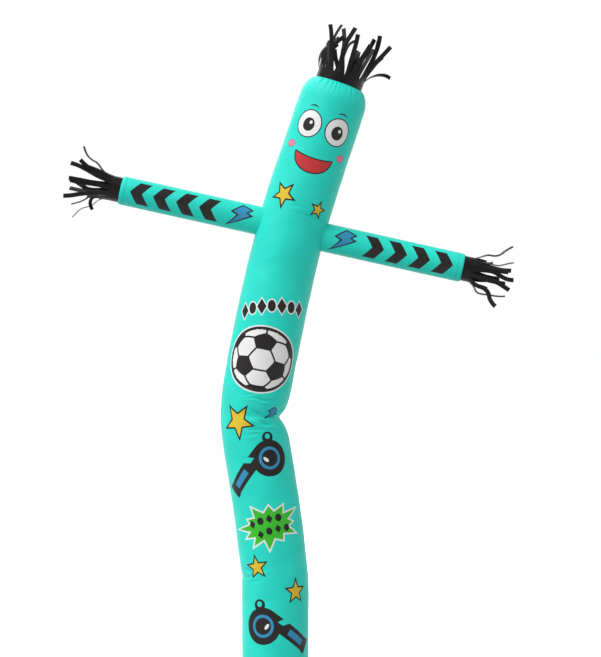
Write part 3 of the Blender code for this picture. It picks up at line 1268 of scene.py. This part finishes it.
    def figures(self) -> list[Figure]:
        """The print on the body, from the head to the mouth.

        Returns:
            The figures, from the lowest to the topmost.
        """
        motifs = (
            PlainFace(up=1.240),
            Star(-0.0391, 1.1418, 0.0240, 41),
            Star(0.0480, 1.1305, 0.0153, -8, edge=0.0029),
            MarkRow(0.000, 0.890),
            Ball(-0.0006, 0.7800, 0.0832, 0.0750),
            Bolt(0.0440, 0.6625, 0.58, -12.0, edge=0.0023),
            Star(-0.0370, 0.6434, 0.0322, 38),
            Whistle(0.027, 0.558, 44.0),
            Burst(0.0018, 0.4115),
            MarkRow(-0.0060, 0.4225, 4, 0.0205, 0.003, 8.0, (0.0078, 0.0098), (0.0074, 0.0086), 0.0),
            MarkRow(0.0110, 0.3985, 4, 0.0205, 0.003, 8.0, (0.0074, 0.0094), (0.0070, 0.0082), 0.0),
            Star(-0.0384, 0.3230, 0.0220, 5, edge=0.0031),
            Star(0.0503, 0.2645, 0.0219, 1, edge=0.0031),
            Whistle(-0.028, 0.190, -36.0, mirrored=True),
        )
        return [figure for motif in motifs for figure in motif.figures()]


@dataclass
class SleeveTube:
    """A printed sleeve, from its saddle-shaped root on the body to its hemmed wrist."""

    name: str
    hand: int
    root_height: float
    spine: Spine
    thickness: float = 0.0006
    arm_radius: float = 0.0318
    wrist_radius: float = 0.0298
    wrist_rounding: float = 0.008
    reach: float = 0.389
    tilt: float = 12.5
    root_gap: float = 0.0002
    root_margin: float = 0.003
    root_nearest: float = 0.03
    root_farthest: float = 0.14
    root_middle: float = 0.070
    root_shares: Sequence[float] = (0.33, 0.66)
    hole_points: int = 64
    row_step: float = 0.0044
    column_count: int = 56
    wrist_steps: Sequence[float] = (0.125, 0.25, 0.375, 0.5, 0.625, 0.75, 0.86, 0.94, 0.985, 1.0)
    hem_inside: float = 0.0110
    hem_groove: float = 0.0004
    groove_width: float = 0.0012
    groove_steps: Sequence[float] = (-0.0016, -0.0008, 0.0, 0.0008, 0.0016)
    bolt_place: Pair = (0.1180, 0.0040)
    chevron_start: float = 0.164

    @property
    def along(self) -> np.ndarray:
        """The sleeve's direction, from the body to the hand."""
        tilt = math.radians(self.tilt)
        return self.hand * np.array((math.cos(tilt), 0.0, -math.sin(tilt)))

    @property
    def upper(self) -> np.ndarray:
        """The direction across the sleeve to its upper side."""
        tilt = math.radians(self.tilt)
        return np.array((math.sin(tilt), 0.0, math.cos(tilt)))

    @property
    def start(self) -> np.ndarray:
        """Where the sleeve's axis leaves the spine."""
        return self.spine.centre(np.array((self.root_height,)))[0]

    @property
    def half_width(self) -> float:
        """Half the flat cloth's width, round the sleeve."""
        return math.pi * self.arm_radius

    def radius(self, distance: np.ndarray) -> np.ndarray:
        """The outer face's radius at each distance from the spine.

        Args:
            distance: The distances.

        Returns:
            The radii.
        """
        into = np.clip((distance - (self.reach - self.wrist_rounding)) / self.wrist_rounding, 0, 1)
        full = self.wrist_radius + (self.arm_radius - self.wrist_radius) * np.sqrt(1 - into**2)
        groove = np.exp(-(((distance - self.reach + self.hem_inside) / self.groove_width) ** 2))
        return full - self.hem_groove * groove

    def surface(self, flat: np.ndarray, inset: float) -> np.ndarray:
        """Wraps flat points round the sleeve's axis.

        Args:
            flat: Points on the flat cloth.
            inset: How far they lie inside the outer face.

        Returns:
            Their places in the model.
        """
        distance = self.hand * flat[:, 0]
        radius = (self.radius(distance) - inset)[:, None]
        out = around(flat[:, 1] / self.arm_radius, self.upper)
        return self.start + distance[:, None] * self.along + radius * out

    def root(self, turns: np.ndarray, gap: float, halvings: int = 30) -> np.ndarray:
        """How far out the sleeve meets the body.

        Args:
            turns: Turns round the sleeve, from its front to its upper side.
            gap: The gap left to the body.
            halvings: How often the search is narrowed.

        Returns:
            The distance at each turn.
        """
        begin = self.start + self.arm_radius * around(turns, self.upper)
        near, far = np.full(len(turns), self.root_nearest), np.full(len(turns), self.root_farthest)
        for _ in range(halvings):
            middle = (near + far) / 2
            heights, _, away = self.spine.flattened(begin + middle[:, None] * self.along)
            within = away < self.spine.value(heights, Part.RADIUS) + gap
            near, far = np.where(within, middle, near), np.where(within, far, middle)
        return far

    def hole(self, body: BodyTube) -> np.ndarray:
        """The outline of the body's hole into the sleeve, on the body's flat cloth.

        Args:
            body: The body.

        Returns:
            The outline.
        """
        turns = math.tau * np.arange(self.hole_points) / self.hole_points
        edge = self.start + (self.arm_radius - CAD_WALL) * around(turns, self.upper)
        heights, turn, _ = self.spine.flattened(edge + self.root(turns, 0.0)[:, None] * self.along)
        return np.column_stack((turn * body.round_radius, self.spine.length_at(heights)))

    def cloth(self) -> FlatCloth:
        """Lays out the flat cloth, with its curved root edge.

        Returns:
            The cut of cloth.
        """
        across = np.linspace(-self.half_width, self.half_width, self.column_count + 1)
        root = self.root(across / self.arm_radius, self.root_gap)
        plain = self.reach - self.wrist_rounding
        first = float(root.max()) + self.root_margin
        count = round((plain - first) / self.row_step)
        rows = [first + (plain - first) * i / count for i in range(count + 1)]
        rows += [plain + self.wrist_rounding * step for step in self.wrist_steps]
        rows += [self.reach - self.hem_inside + step for step in self.groove_steps]
        rows = sorted(rows)[:-1]
        lines = [np.full(len(across), row) for row in rows]
        lines += [root + (first - root) * share for share in self.root_shares]
        points = np.vstack([np.column_stack((line, across))[1:-1] for line in lines])
        lower, upper = ([(row, side) for row in rows] for side in (across[0], across[-1]))
        wrist = np.column_stack((np.full(len(across), self.reach), across))
        edge = np.vstack((np.column_stack((root, across))[::-1], lower, wrist, upper[::-1]))
        if self.hand < 0:
            edge, points = mirrored(edge), points * (-1, 1)
        return FlatCloth(edge, points, self.figures())

    def figures(self) -> list[Figure]:
        """The print on the sleeve: a bolt, and the chevrons beyond it."""
        bolt = Bolt(self.hand * self.bolt_place[0], self.bolt_place[1])
        return bolt.figures() + Chevrons(self.chevron_start, self.hand).figures()

    def seam_key(self, flat: np.ndarray) -> np.ndarray:
        """Gives both sides of the seam at the back one key."""
        up = np.where(flat[:, 1] > self.half_width - WELD, -self.half_width, flat[:, 1])
        return np.column_stack((flat[:, 0], up))


# --- fringes -----------------------------------------------------------------------------------


@dataclass(frozen=True)
class Strip:
    """A strip of a fringe, in degrees and metres.

    headings are its directions at equal steps from the root to the tip, measured from the band's
    axis. forward is how far the tip leans to the front. turned is how far its face has turned away
    from the front once it has settled, which takes the share settles of its length.
    """

    headings: tuple[float, ...]
    forward: float
    length: float
    turned: float
    settles: float


HAIR = (
    Strip((22, 42, 60, 82, 116), 20, 0.067, 40, 1),
    Strip((10.5, 17.5, 27, 22.5), 8, 0.1, 12, 0.35),
    Strip((17, 11, 2, -12), -12, 0.112, 8, 0.4),
    Strip((-16, 0, 15, 13, 3), -30, 0.105, 20, 0.5),
    Strip((2, 10, 16, 14), 14, 0.082, 12, 0.4),
    Strip((-6, -2, -2, -9), 10, 0.093, 5, 0.5),
    Strip((-9, -20, -15, 10, 15, 10), -18, 0.112, 10, 0.5),
    Strip((9, -3, -8, -19, -25), -22, 0.103, 25, 0.5),
    Strip((-18, -19, -18, -29), 14, 0.101, 25, 0.6),
    Strip((-8, -13, -16, -14), -34, 0.07, 20, 0.6),
    Strip((-3, -1, 7, 17), -10, 0.107, 52, 0.5),
    Strip((-17, 0, 30, 34, 38), 30, 0.09, 20, 0.8),
    Strip((-30, -17, 4, 22, 33, 34, 32), 0, 0.088, 58, 0.5),
    Strip((-30, -17, 4, 22, 33, 34, 32), -12, 0.078, 60, 0.5),
    Strip((-15, 2, 30, 34), -12, 0.068, 40, 0.5),
    Strip((-12, -2, 22, 34), -26, 0.076, 35, 0.5),
    Strip((-8, -14, -18, -20), -8, 0.068, 30, 0.5),
    Strip((-12, -16, -16, -14), -28, 0.082, 25, 0.5),
    Strip((9, 2, -1, 8, 58), -14, 0.096, 60, 0.5),
    Strip((-32, -36, -28, -20), -34, 0.074, 10, 0.5),
    Strip((6, -2, 2), -16, 0.073, 15, 0.5),
    Strip((-2, -6, -6), -60, 0.089, 5, 0.5),
    Strip((2, 12, 8), -20, 0.088, 25, 0.5),
    Strip((17, 11, 2, -9), -14, 0.107, 15, 0.4),
    Strip((6, 22, 28), -34, 0.08, 50, 0.5),
    Strip((8, 20, 14), -12, 0.086, 60, 0.5),
)

LEFT_HAND = (
    Strip((12, 6, 35, 46, 13, 32, 56, 62), 6, 0.099, 70, 0.4),
    Strip((4, 7, 14, 26, 38), 18, 0.086, 14, 0.3),
    Strip((11, 11, 19, 14, 2), -8, 0.103, 10, 0.4),
    Strip((1, -2, -5, -3, 0), 14, 0.093, 8, 0.4),
    Strip((-10, -13, -19, -24, -12), 22, 0.105, 12, 0.4),
    Strip((0, -3, -24, -46, -30, -25), 10, 0.089, 78, 0.4),
    Strip((-4, -1, 3, 2, -20, -72, -98, -122, -136), 2, 0.0675, 45, 0.7),
    Strip((2, -4, -42, -56, -32, -23, -50, -60, -56), -6, 0.098, 72, 0.4),
    Strip((-4, -4, -10, -16), -16, 0.055, 35, 0.5),
    Strip((-5, -7, -6, -2, 3), -16, 0.098, 25, 0.5),
    Strip((-18, -17, -14, -6, 20, 24, -4), -12, 0.098, 10, 0.4),
    Strip((-14, -6, 0, -3), -12, 0.104, 10, 0.5),
    Strip((6, 8, 20, 32), -8, 0.084, 35, 0.5),
    Strip((4, 12, 8), -34, 0.066, 40, 0.5),
)

RIGHT_HAND = (
    Strip((11, 31, 28, -3, 24, 54, 44, 36), 6, 0.0936, 66, 0.4),
    Strip((3, 2, 0, -8, 23, 28, 12), 12, 0.091, 72, 0.4),
    Strip((10, 4, -7, 3, 11), 24, 0.087, 10, 0.4),
    Strip((9, 9, 5, -23, -13, 14), 16, 0.097, 8, 0.4),
    Strip((-7, -1, -2, -20, -22), 2, 0.0925, 8, 0.4),
    Strip((-40, -26, -3, -30, -70, -46, -30), 20, 0.0885, 12, 0.3),
    Strip((-26, -38, -56, -8, 9, 2, 3, 10, 20), 6, 0.094, 70, 0.4),
    Strip((-24, -8, 2, -20), -6, 0.045, 35, 0.5),
    Strip((7, 10, 12, 8), -20, 0.055, 20, 0.5),
    Strip((-4, -2, 0, 8), -22, 0.086, 20, 0.5),
    Strip((-14, -8, 0, 12), -26, 0.072, 15, 0.5),
    Strip((-3, 0, 2, 6), 12, 0.084, 12, 0.5),
    Strip((10, 4, -4, 6, 40), -10, 0.047, 58, 0.4),
    Strip((2, -2, -4), -10, 0.03, 62, 0.5),
)


@dataclass
class RingMesh:
    """A mesh made of rings of points, with each point's place on the flat cloth."""

    points: list[np.ndarray] = field(default_factory=list)
    flat: list[Pair] = field(default_factory=list)
    faces: list[tuple[int, ...]] = field(default_factory=list)

    def add(self, point: np.ndarray, flat: Pair) -> None:
        """Adds a point."""
        self.points.append(point)
        self.flat.append(flat)

    def join(self, start: int, size: int, closed: bool = False, reverse: bool = False) -> None:
        """Joins the rings from a point on, and caps their ends where they don't close.

        Args:
            start: The first ring's first point.
            size: The number of points in a ring.
            closed: Whether the last ring joins the first.
            reverse: Whether the faces would look inwards otherwise.
        """
        rings = (len(self.points) - start) // size
        for ring in range(rings if closed else rings - 1):
            low, high = start + ring * size, start + (ring + 1) % rings * size
            for i in range(size):
                k = (i + 1) % size
                quad = (low + i, low + k, high + k, high + i)
                self.faces.append(quad[::-1] if reverse else quad)
        if not closed:
            last = start + size * (rings - 1)
            self.faces.append(tuple(range(last, last + size)))
            self.faces.append(tuple(reversed(range(start, start + size))))


@dataclass
class Fringe:
    """A band that stands in the end of a tube, cut into strips above its rim.

    bore is the radius that is free inside the CAD tube.
    """

    name: str
    strips: Sequence[Strip]
    rim: np.ndarray
    along: np.ndarray
    side: np.ndarray
    bore: float
    strip_width: float = 0.0098
    strip_gap: float = 0.0003
    strip_thickness: float = 0.0005
    strip_inset: float = 0.0006
    band_thickness: float = 0.0009
    band_inset: float = 0.0001
    band_tuck: float = 0.008
    band_height: float = 0.020
    band_step: float = 0.004
    seam_gap: float = 0.0003
    steps: int = 30
    sink: float = 0.0030
    flare: float = 0.0120
    flare_power: float = 1.5
    cup: float = 0.0009
    cups: float = 1.3
    cup_shift: float = 0.17
    sharp_from: float = 50.0

    @property
    def face(self) -> float:
        """How far the middle of a strip's root lies from the axis."""
        half = self.strip_width / 2
        return math.sqrt((self.bore - self.seam_gap) ** 2 - half**2) - self.strip_inset

    def heading(self, strip: Strip, share: float) -> np.ndarray:
        """A strip's direction at a share of its length.

        Args:
            strip: The strip.
            share: The share, from 0 at its root to 1 at its tip.

        Returns:
            A unit vector.
        """
        turn = float(np.interp(share, np.linspace(0, 1, len(strip.headings)), strip.headings))
        turn, lean = math.radians(turn), math.radians(strip.forward) * share
        level = math.cos(turn) * self.along + math.sin(turn) * self.side
        return math.cos(lean) * level + math.sin(lean) * FRONT

    def build(self, material: bpy.types.Material) -> bpy.types.Object:
        """Makes the band and its strips as one piece.

        Args:
            material: The cloth.

        Returns:
            The fringe.
        """
        made = RingMesh()
        self.add_band(made)
        for number, strip in enumerate(self.strips):
            self.add_strip(made, number, strip)
        mesh = bpy.data.meshes.new(self.name)
        mesh.from_pydata([tuple(point) for point in made.points], [], made.faces)
        mesh.materials.append(material)
        layer = mesh.uv_layers.new(name=FLAT_MAP)
        for loop in mesh.loops:
            layer.data[loop.index].uv = made.flat[loop.vertex_index]
        mesh.shade_smooth()
        mesh.set_sharp_from_angle(angle=math.radians(self.sharp_from))
        return linked(self.name, mesh)

    def add_band(self, made: RingMesh) -> None:
        """Adds the closed ring of the band.

        Args:
            made: Gets its points and faces.
        """
        size = 4 * len(self.strips)
        middle = self.bore - self.seam_gap - self.band_thickness / 2 - self.band_inset
        rows = round((self.band_height + self.band_tuck) / self.band_step) + 1
        heights = [min(self.band_step * i - self.band_tuck, self.band_height) for i in range(rows)]
        outer = [(middle + self.band_thickness / 2, height) for height in heights]
        inner = [(radius - self.band_thickness, height) for radius, height in reversed(outer)]
        for radius, height in outer + inner:
            for i in range(size):
                angle = math.tau * i / size
                out = math.cos(angle) * self.side + math.sin(angle) * FRONT
                made.add(self.rim + self.along * height + out * radius, (middle * angle, height))
        turned_in = float(np.cross(self.side, FRONT) @ self.along) < 0
        made.join(0, size, closed=True, reverse=turned_in)

    def add_strip(self, made: RingMesh, number: int, strip: Strip) -> None:
        """Adds one strip: a thin, slightly cupped ribbon with square ends.

        It begins inside the band, follows the band's round at its root and then turns its face to
        where it settles.

        Args:
            made: Gets its points and faces.
            number: Which strip it is, counted round from the side.
            strip: Its shape.
        """
        angle = math.tau * (number + 0.5) / len(self.strips)
        out = math.cos(angle) * self.side + math.sin(angle) * FRONT
        tangent = math.cos(angle) * FRONT - math.sin(angle) * self.side
        root = self.rim + self.along * self.band_height + out * self.face
        pitch = math.tau * self.face / len(self.strips)
        start = len(made.points)
        facing = 1.0 if np.cross(self.along, FRONT) @ tangent >= 0 else -1.0
        rest = math.radians(strip.turned)
        leaning = None
        for i in range(-1, self.steps + 1):
            share = max(i, 0) / self.steps
            heading = self.along if i < 1 else self.heading(strip, share - 0.5 / self.steps)
            if i < 1:
                place = root - self.along * self.sink if i < 0 else root
            else:
                place = place + heading * strip.length / self.steps
            tangent = unit(tangent - (tangent @ heading) * heading)
            open_way = facing * np.cross(heading, FRONT)
            if leaning is None:
                leaning = 1.0 if np.cross(heading, open_way) @ tangent >= 0 else -1.0
            aside = leaning * np.cross(heading, open_way)
            settled = math.cos(rest) * open_way + math.sin(rest) * aside
            part = min(share / strip.settles, 1.0)
            part = part * part * (3 - 2 * part)
            across_way = tangent * (1 - part) + settled * part
            across_way = unit(across_way - (across_way @ heading) * heading)
            through = np.cross(across_way, heading)
            # A strip widens at its root until it meets its neighbours, as one cut from a band does.
            run = share * strip.length
            widen = max(0.0, 1 - run / self.flare) ** self.flare_power
            half = (self.strip_width + (pitch - self.strip_gap - self.strip_width) * widen) / 2
            wave = math.sin(math.tau * (share * self.cups + self.cup_shift * number))
            cupped = self.cup * wave if i > 0 else 0.0
            for way in (1, -1):
                for across in (-1.0, 0.0, 1.0)[::way]:
                    offset = way * self.strip_thickness / 2 + cupped * (1 - across**2)
                    point = place + across_way * half * across + through * offset
                    made.add(point, (pitch * number + half * across, run))
        made.join(start, size=6)


# --- stitches ----------------------------------------------------------------------------------


@dataclass
class Stitching:
    """Rows of stitches that lie along lines on the cloth."""

    name: str
    pitch: float = 0.0034
    length: float = 0.0022
    thread: float = 0.00045
    thread_sides: int = 6

    def tree(self, material: bpy.types.Material) -> Tree:
        """Builds the tree that lays a short thread at each step of a line.

        Args:
            material: The thread.

        Returns:
            The Geometry Nodes tree.
        """
        tree = bpy.data.node_groups.new(f"{self.name}_nodes", "GeometryNodeTree")
        new_socket = tree.interface.new_socket
        new_socket("Geometry", in_out="INPUT", socket_type="NodeSocketGeometry")
        for name in ("Pitch", "Stitch Length", "Thread Radius"):
            new_socket(name, in_out="INPUT", socket_type="NodeSocketFloat")
        new_socket("Geometry", in_out="OUTPUT", socket_type="NodeSocketGeometry")
        given = add_node(tree, "NodeGroupInput").outputs
        curve = add_node(tree, "GeometryNodeMeshToCurve", {"Mesh": given["Geometry"]})
        evenly = {"Curve": curve.outputs["Curve"], "Length": given["Pitch"]}
        steps = add_node(tree, "GeometryNodeResampleCurve", evenly, mode="LENGTH")
        tangent = {"Vector": add_node(tree, "GeometryNodeInputTangent").outputs["Tangent"]}
        turn = add_node(tree, "FunctionNodeAlignRotationToVector", tangent, axis="Z")
        rod = {"Radius": given["Thread Radius"], "Depth": given["Stitch Length"]}
        thread = add_node(tree, "GeometryNodeMeshCylinder", {"Vertices": self.thread_sides, **rod})
        places = {
            "Points": steps.outputs["Curve"],
            "Instance": thread.outputs["Mesh"],
            "Rotation": turn.outputs["Rotation"],
        }
        laid = add_node(tree, "GeometryNodeInstanceOnPoints", places).outputs["Instances"]
        real = add_node(tree, "GeometryNodeRealizeInstances", {"Geometry": laid}).outputs["Geometry"]
        dressed = add_node(tree, "GeometryNodeSetMaterial", {"Geometry": real, "Material": material})
        add_node(tree, "NodeGroupOutput", {"Geometry": dressed.outputs["Geometry"]})
        return tree

    def build(
        self, lines: Sequence[tuple[np.ndarray, bool]], material: bpy.types.Material
    ) -> bpy.types.Object:
        """Lays stitches along lines.

        Args:
            lines: The points of each line, and whether it is a closed ring.
            material: The thread.

        Returns:
            All the stitches as one plain mesh.
        """
        points, edges = [], []
        for line, closed in lines:
            start = len(points)
            points += [tuple(point) for point in line]
            edges += [(start + i, start + i + 1) for i in range(len(line) - 1)]
            if closed:
                edges.append((start + len(line) - 1, start))
        mesh = bpy.data.meshes.new(f"{self.name}_lines")
        mesh.from_pydata(points, edges, [])
        source = linked(f"{self.name}_lines", mesh)
        modifier = source.modifiers.new("stitches", "NODES")
        modifier.node_group = self.tree(material)
        values = {"Pitch": self.pitch, "Stitch Length": self.length, "Thread Radius": self.thread}
        for item in modifier.node_group.interface.items_tree:
            if item.name in values:
                modifier[item.identifier] = values[item.name]
        bpy.context.view_layer.update()
        depsgraph = bpy.context.evaluated_depsgraph_get()
        made = bpy.data.meshes.new_from_object(source.evaluated_get(depsgraph))
        made.name = self.name
        made.uv_layers.new(name=FLAT_MAP)
        bpy.data.objects.remove(source)
        return linked(self.name, made)


# --- the dancer and the studio ------------------------------------------------------------------


def bore(radius: float, sides: int) -> float:
    """The radius that is free inside a CAD tube, whose wall is flat between its corners."""
    return (radius - CAD_WALL) * math.cos(math.pi / sides)


def ring_places(half_width: float, count: int) -> np.ndarray:
    """Even places round a tube, as places across its flat cloth."""
    return np.linspace(-half_width, half_width, count + 1)[:-1]


@dataclass
class Dancer:
    """The whole dancer."""

    spine: Spine = field(default_factory=lambda: Spine(STATIONS))
    body_sides: int = 36
    sleeve_sides: int = 24
    root_heights: Pair = (1.0665, 1.0620)
    hem_ring: int = 144
    wrist_ring: int = 72
    seam_points: int = 500
    seam_end: float = 0.004
    hem_margin: float = 0.003
    seam_share: float = 0.6

    def materials(self) -> list[bpy.types.Material]:
        """Makes one printed nylon for each ink.

        Returns:
            The materials, in Ink's order.
        """
        names = {ink: f"woven_nylon_{ink.name.lower()}_print" for ink in Ink}
        names[Ink.CLOTH] = "woven_nylon_turquoise"
        return [Nylon(names[ink], ink.value).build() for ink in Ink]

    def build(self) -> None:
        """Builds, dresses and declares every piece."""
        inks = self.materials()
        # Its stronger mottle is partly uneven dye and partly painted shade of soft wrinkles.
        black = Nylon(
            "woven_nylon_black", "#09090A", roughness=0.38, gloss=0.13, sheen=0.0, mottle_and_shade_share=0.2
        ).build()
        thread = Nylon("sewing_thread_turquoise", "#1FBDAD", roughness=0.6).build()
        body = BodyTube(self.spine)
        sleeves = [
            SleeveTube("left", -1, self.root_heights[0], self.spine),
            SleeveTube("right", 1, self.root_heights[1], self.spine),
        ]
        flat = body.cloth([sleeve.hole(body) for sleeve in sleeves], body.figures())
        tube = flat.wrapped("body_tube_cloth", body.surface, body.thickness, inks, body.seam_key)
        declare(tube, CLOTH_SLOT, "body_tube")
        height = np.array((self.spine.top,))
        top = self.spine.centre(height)[0]
        along, side = (part[0] for part in self.spine.directions(height))
        band = bore(body.neck_radius, self.body_sides)
        hair = Fringe("hair_fringe_strips", HAIR, top, along, side, band).build(black)
        declare(hair, FRINGE_SLOT, "hair_fringe")
        stitches = self.body_stitches(body, thread)
        declare(stitches, CLOTH_SLOT)
        for sleeve, strips in zip(sleeves, (LEFT_HAND, RIGHT_HAND)):
            self.build_sleeve(sleeve, strips, inks, black, thread)

    def body_stitches(self, body: BodyTube, thread: bpy.types.Material) -> bpy.types.Object:
        """Stitches at the mouth's hem and down both sides of the back seam.

        Args:
            body: The body.
            thread: The thread's material.

        Returns:
            The stitches.
        """
        across = ring_places(body.half_width, self.hem_ring)
        hem = np.column_stack((across, np.full(len(across), body.hem_height - self.hem_margin)))
        lines = [(body.surface(hem, -STITCH_LIFT), True)]
        up = np.linspace(self.seam_end, self.spine.length - self.seam_end, self.seam_points)
        beside = body.half_width - body.seam_half_width * self.seam_share
        for hand in (-1, 1):
            seam = np.column_stack((np.full(len(up), hand * beside), up))
            lines.append((body.surface(seam, -STITCH_LIFT), False))
        return Stitching("body_stitches").build(lines, thread)

    def build_sleeve(
        self,
        sleeve: SleeveTube,
        strips: Sequence[Strip],
        inks: Sequence[bpy.types.Material],
        black: bpy.types.Material,
        thread: bpy.types.Material,
    ) -> None:
        """Builds one sleeve with its hand.

        Args:
            sleeve: The sleeve.
            strips: The hand's strips.
            inks: The print's materials.
            black: The hand's cloth.
            thread: The stitches' material.
        """
        name = f"{sleeve.name}_sleeve_cloth"
        cloth = sleeve.cloth()
        tube = cloth.wrapped(name, sleeve.surface, sleeve.thickness, inks, sleeve.seam_key)
        declare(tube, CLOTH_SLOT, f"{sleeve.name}_arm")
        rim = sleeve.start + sleeve.along * sleeve.reach
        band = bore(sleeve.wrist_radius, self.sleeve_sides)
        name = f"{sleeve.name}_hand_strips"
        hand = Fringe(name, strips, rim, sleeve.along, sleeve.upper, band).build(black)
        declare(hand, FRINGE_SLOT, f"{sleeve.name}_hand_fringe")
        turns = ring_places(sleeve.half_width, self.wrist_ring)
        x = sleeve.hand * (sleeve.reach - sleeve.hem_inside)
        ring = sleeve.surface(np.column_stack((np.full(len(turns), x), turns)), -STITCH_LIFT)
        finer = Stitching(f"{sleeve.name}_wrist_stitches", pitch=0.0030, length=0.0019)
        stitches = finer.build([(ring, True)], thread)
        declare(stitches, CLOTH_SLOT)


@dataclass
class Studio:
    """A pale floor, a broad soft key light, a softer rim light behind, and the camera."""

    camera_place: Triple = (0.0559, -5.5, 0.8433)
    lens: float = 148.3
    sensor: float = 36.0
    sees_to: float = 200.0
    floor_half: float = 60.0
    key_from: Triple = (-0.50, -0.36, 0.79)
    key_strength: float = 2.7
    key_softness: float = 55.0
    rim_from: Triple = (-0.30, 0.80, 0.52)
    rim_strength: float = 0.8
    rim_softness: float = 40.0
    air_glow: float = 0.75
    air_slope: float = 0.13
    brightest_air: Triple = (-0.6, 0.0, 0.8)

    def build(self) -> None:
        """Builds the camera, the light, the air and the floor."""
        self.camera()
        self.floor()
        self.light("key_light", self.key_from, self.key_strength, self.key_softness)
        self.light("rim_light", self.rim_from, self.rim_strength, self.rim_softness)
        self.air()
        bpy.context.scene.view_settings.view_transform = "Standard"
        LOG.info("studio: camera, floor, both lights and air")

    def camera(self) -> None:
        """A level camera that faces the dancer's front."""
        data = bpy.data.cameras.new("camera")
        data.sensor_fit = "HORIZONTAL"
        data.sensor_width = self.sensor
        data.lens = self.lens
        data.clip_end = self.sees_to
        camera = linked("camera", data)
        camera.location = self.camera_place
        camera.rotation_euler = (math.pi / 2, 0.0, 0.0)
        bpy.context.scene.camera = camera

    def light(self, name: str, source: Triple, strength: float, softness: float) -> None:
        """Adds a light as broad and even as a softbox far away.

        Args:
            name: What the light is called.
            source: The direction to it.
            strength: Its strength.
            softness: How wide it looks, in degrees.
        """
        data = bpy.data.lights.new(name, "SUN")
        data.energy = strength
        data.angle = math.radians(softness)
        linked(name, data).rotation_euler = Vector(source).to_track_quat("Z", "Y").to_euler()

    def air(self) -> None:
        """White all round, which lights the dancer less than it shows."""
        world = bpy.data.worlds.new("studio_air")
        tree = emptied(world)
        white = linear(StudioPaper.colour)
        way = add_node(tree, "ShaderNodeTexCoord").outputs["Generated"]
        ends = {0: way, 1: self.brightest_air}
        toward = add_node(tree, "ShaderNodeVectorMath", ends, operation="DOT_PRODUCT").outputs["Value"]
        sums = {0: toward, 1: self.air_slope, 2: self.air_glow}
        strength = add_node(tree, "ShaderNodeMath", sums, operation="MULTIPLY_ADD").outputs["Value"]
        glow, seen = (
            add_node(tree, "ShaderNodeBackground", {"Color": white, "Strength": value})
            for value in (strength, 1.0)
        )
        looking = add_node(tree, "ShaderNodeLightPath").outputs["Is Camera Ray"]
        shares = {0: looking, 1: glow.outputs["Background"], 2: seen.outputs["Background"]}
        mixed = add_node(tree, "ShaderNodeMixShader", shares)
        add_node(tree, "ShaderNodeOutputWorld", {"Surface": mixed.outputs["Shader"]})
        bpy.context.scene.world = world

    def floor(self) -> None:
        """A wide flat floor."""
        half = self.floor_half
        mesh = bpy.data.meshes.new("floor")
        corners = [(*corner, 0.0) for corner in box(-half, -half, half, half)]
        mesh.from_pydata(corners, [], [(0, 1, 2, 3)])
        mesh.materials.append(StudioPaper().build())
        floor = linked("floor", mesh)
        floor.visible_diffuse = False


def main() -> None:
    """Builds the dancer and the studio."""
    logging.basicConfig(level=logging.INFO, format="%(message)s")
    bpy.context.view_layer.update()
    Studio().build()
    Dancer().build()


if __name__ == "__main__":
    main()
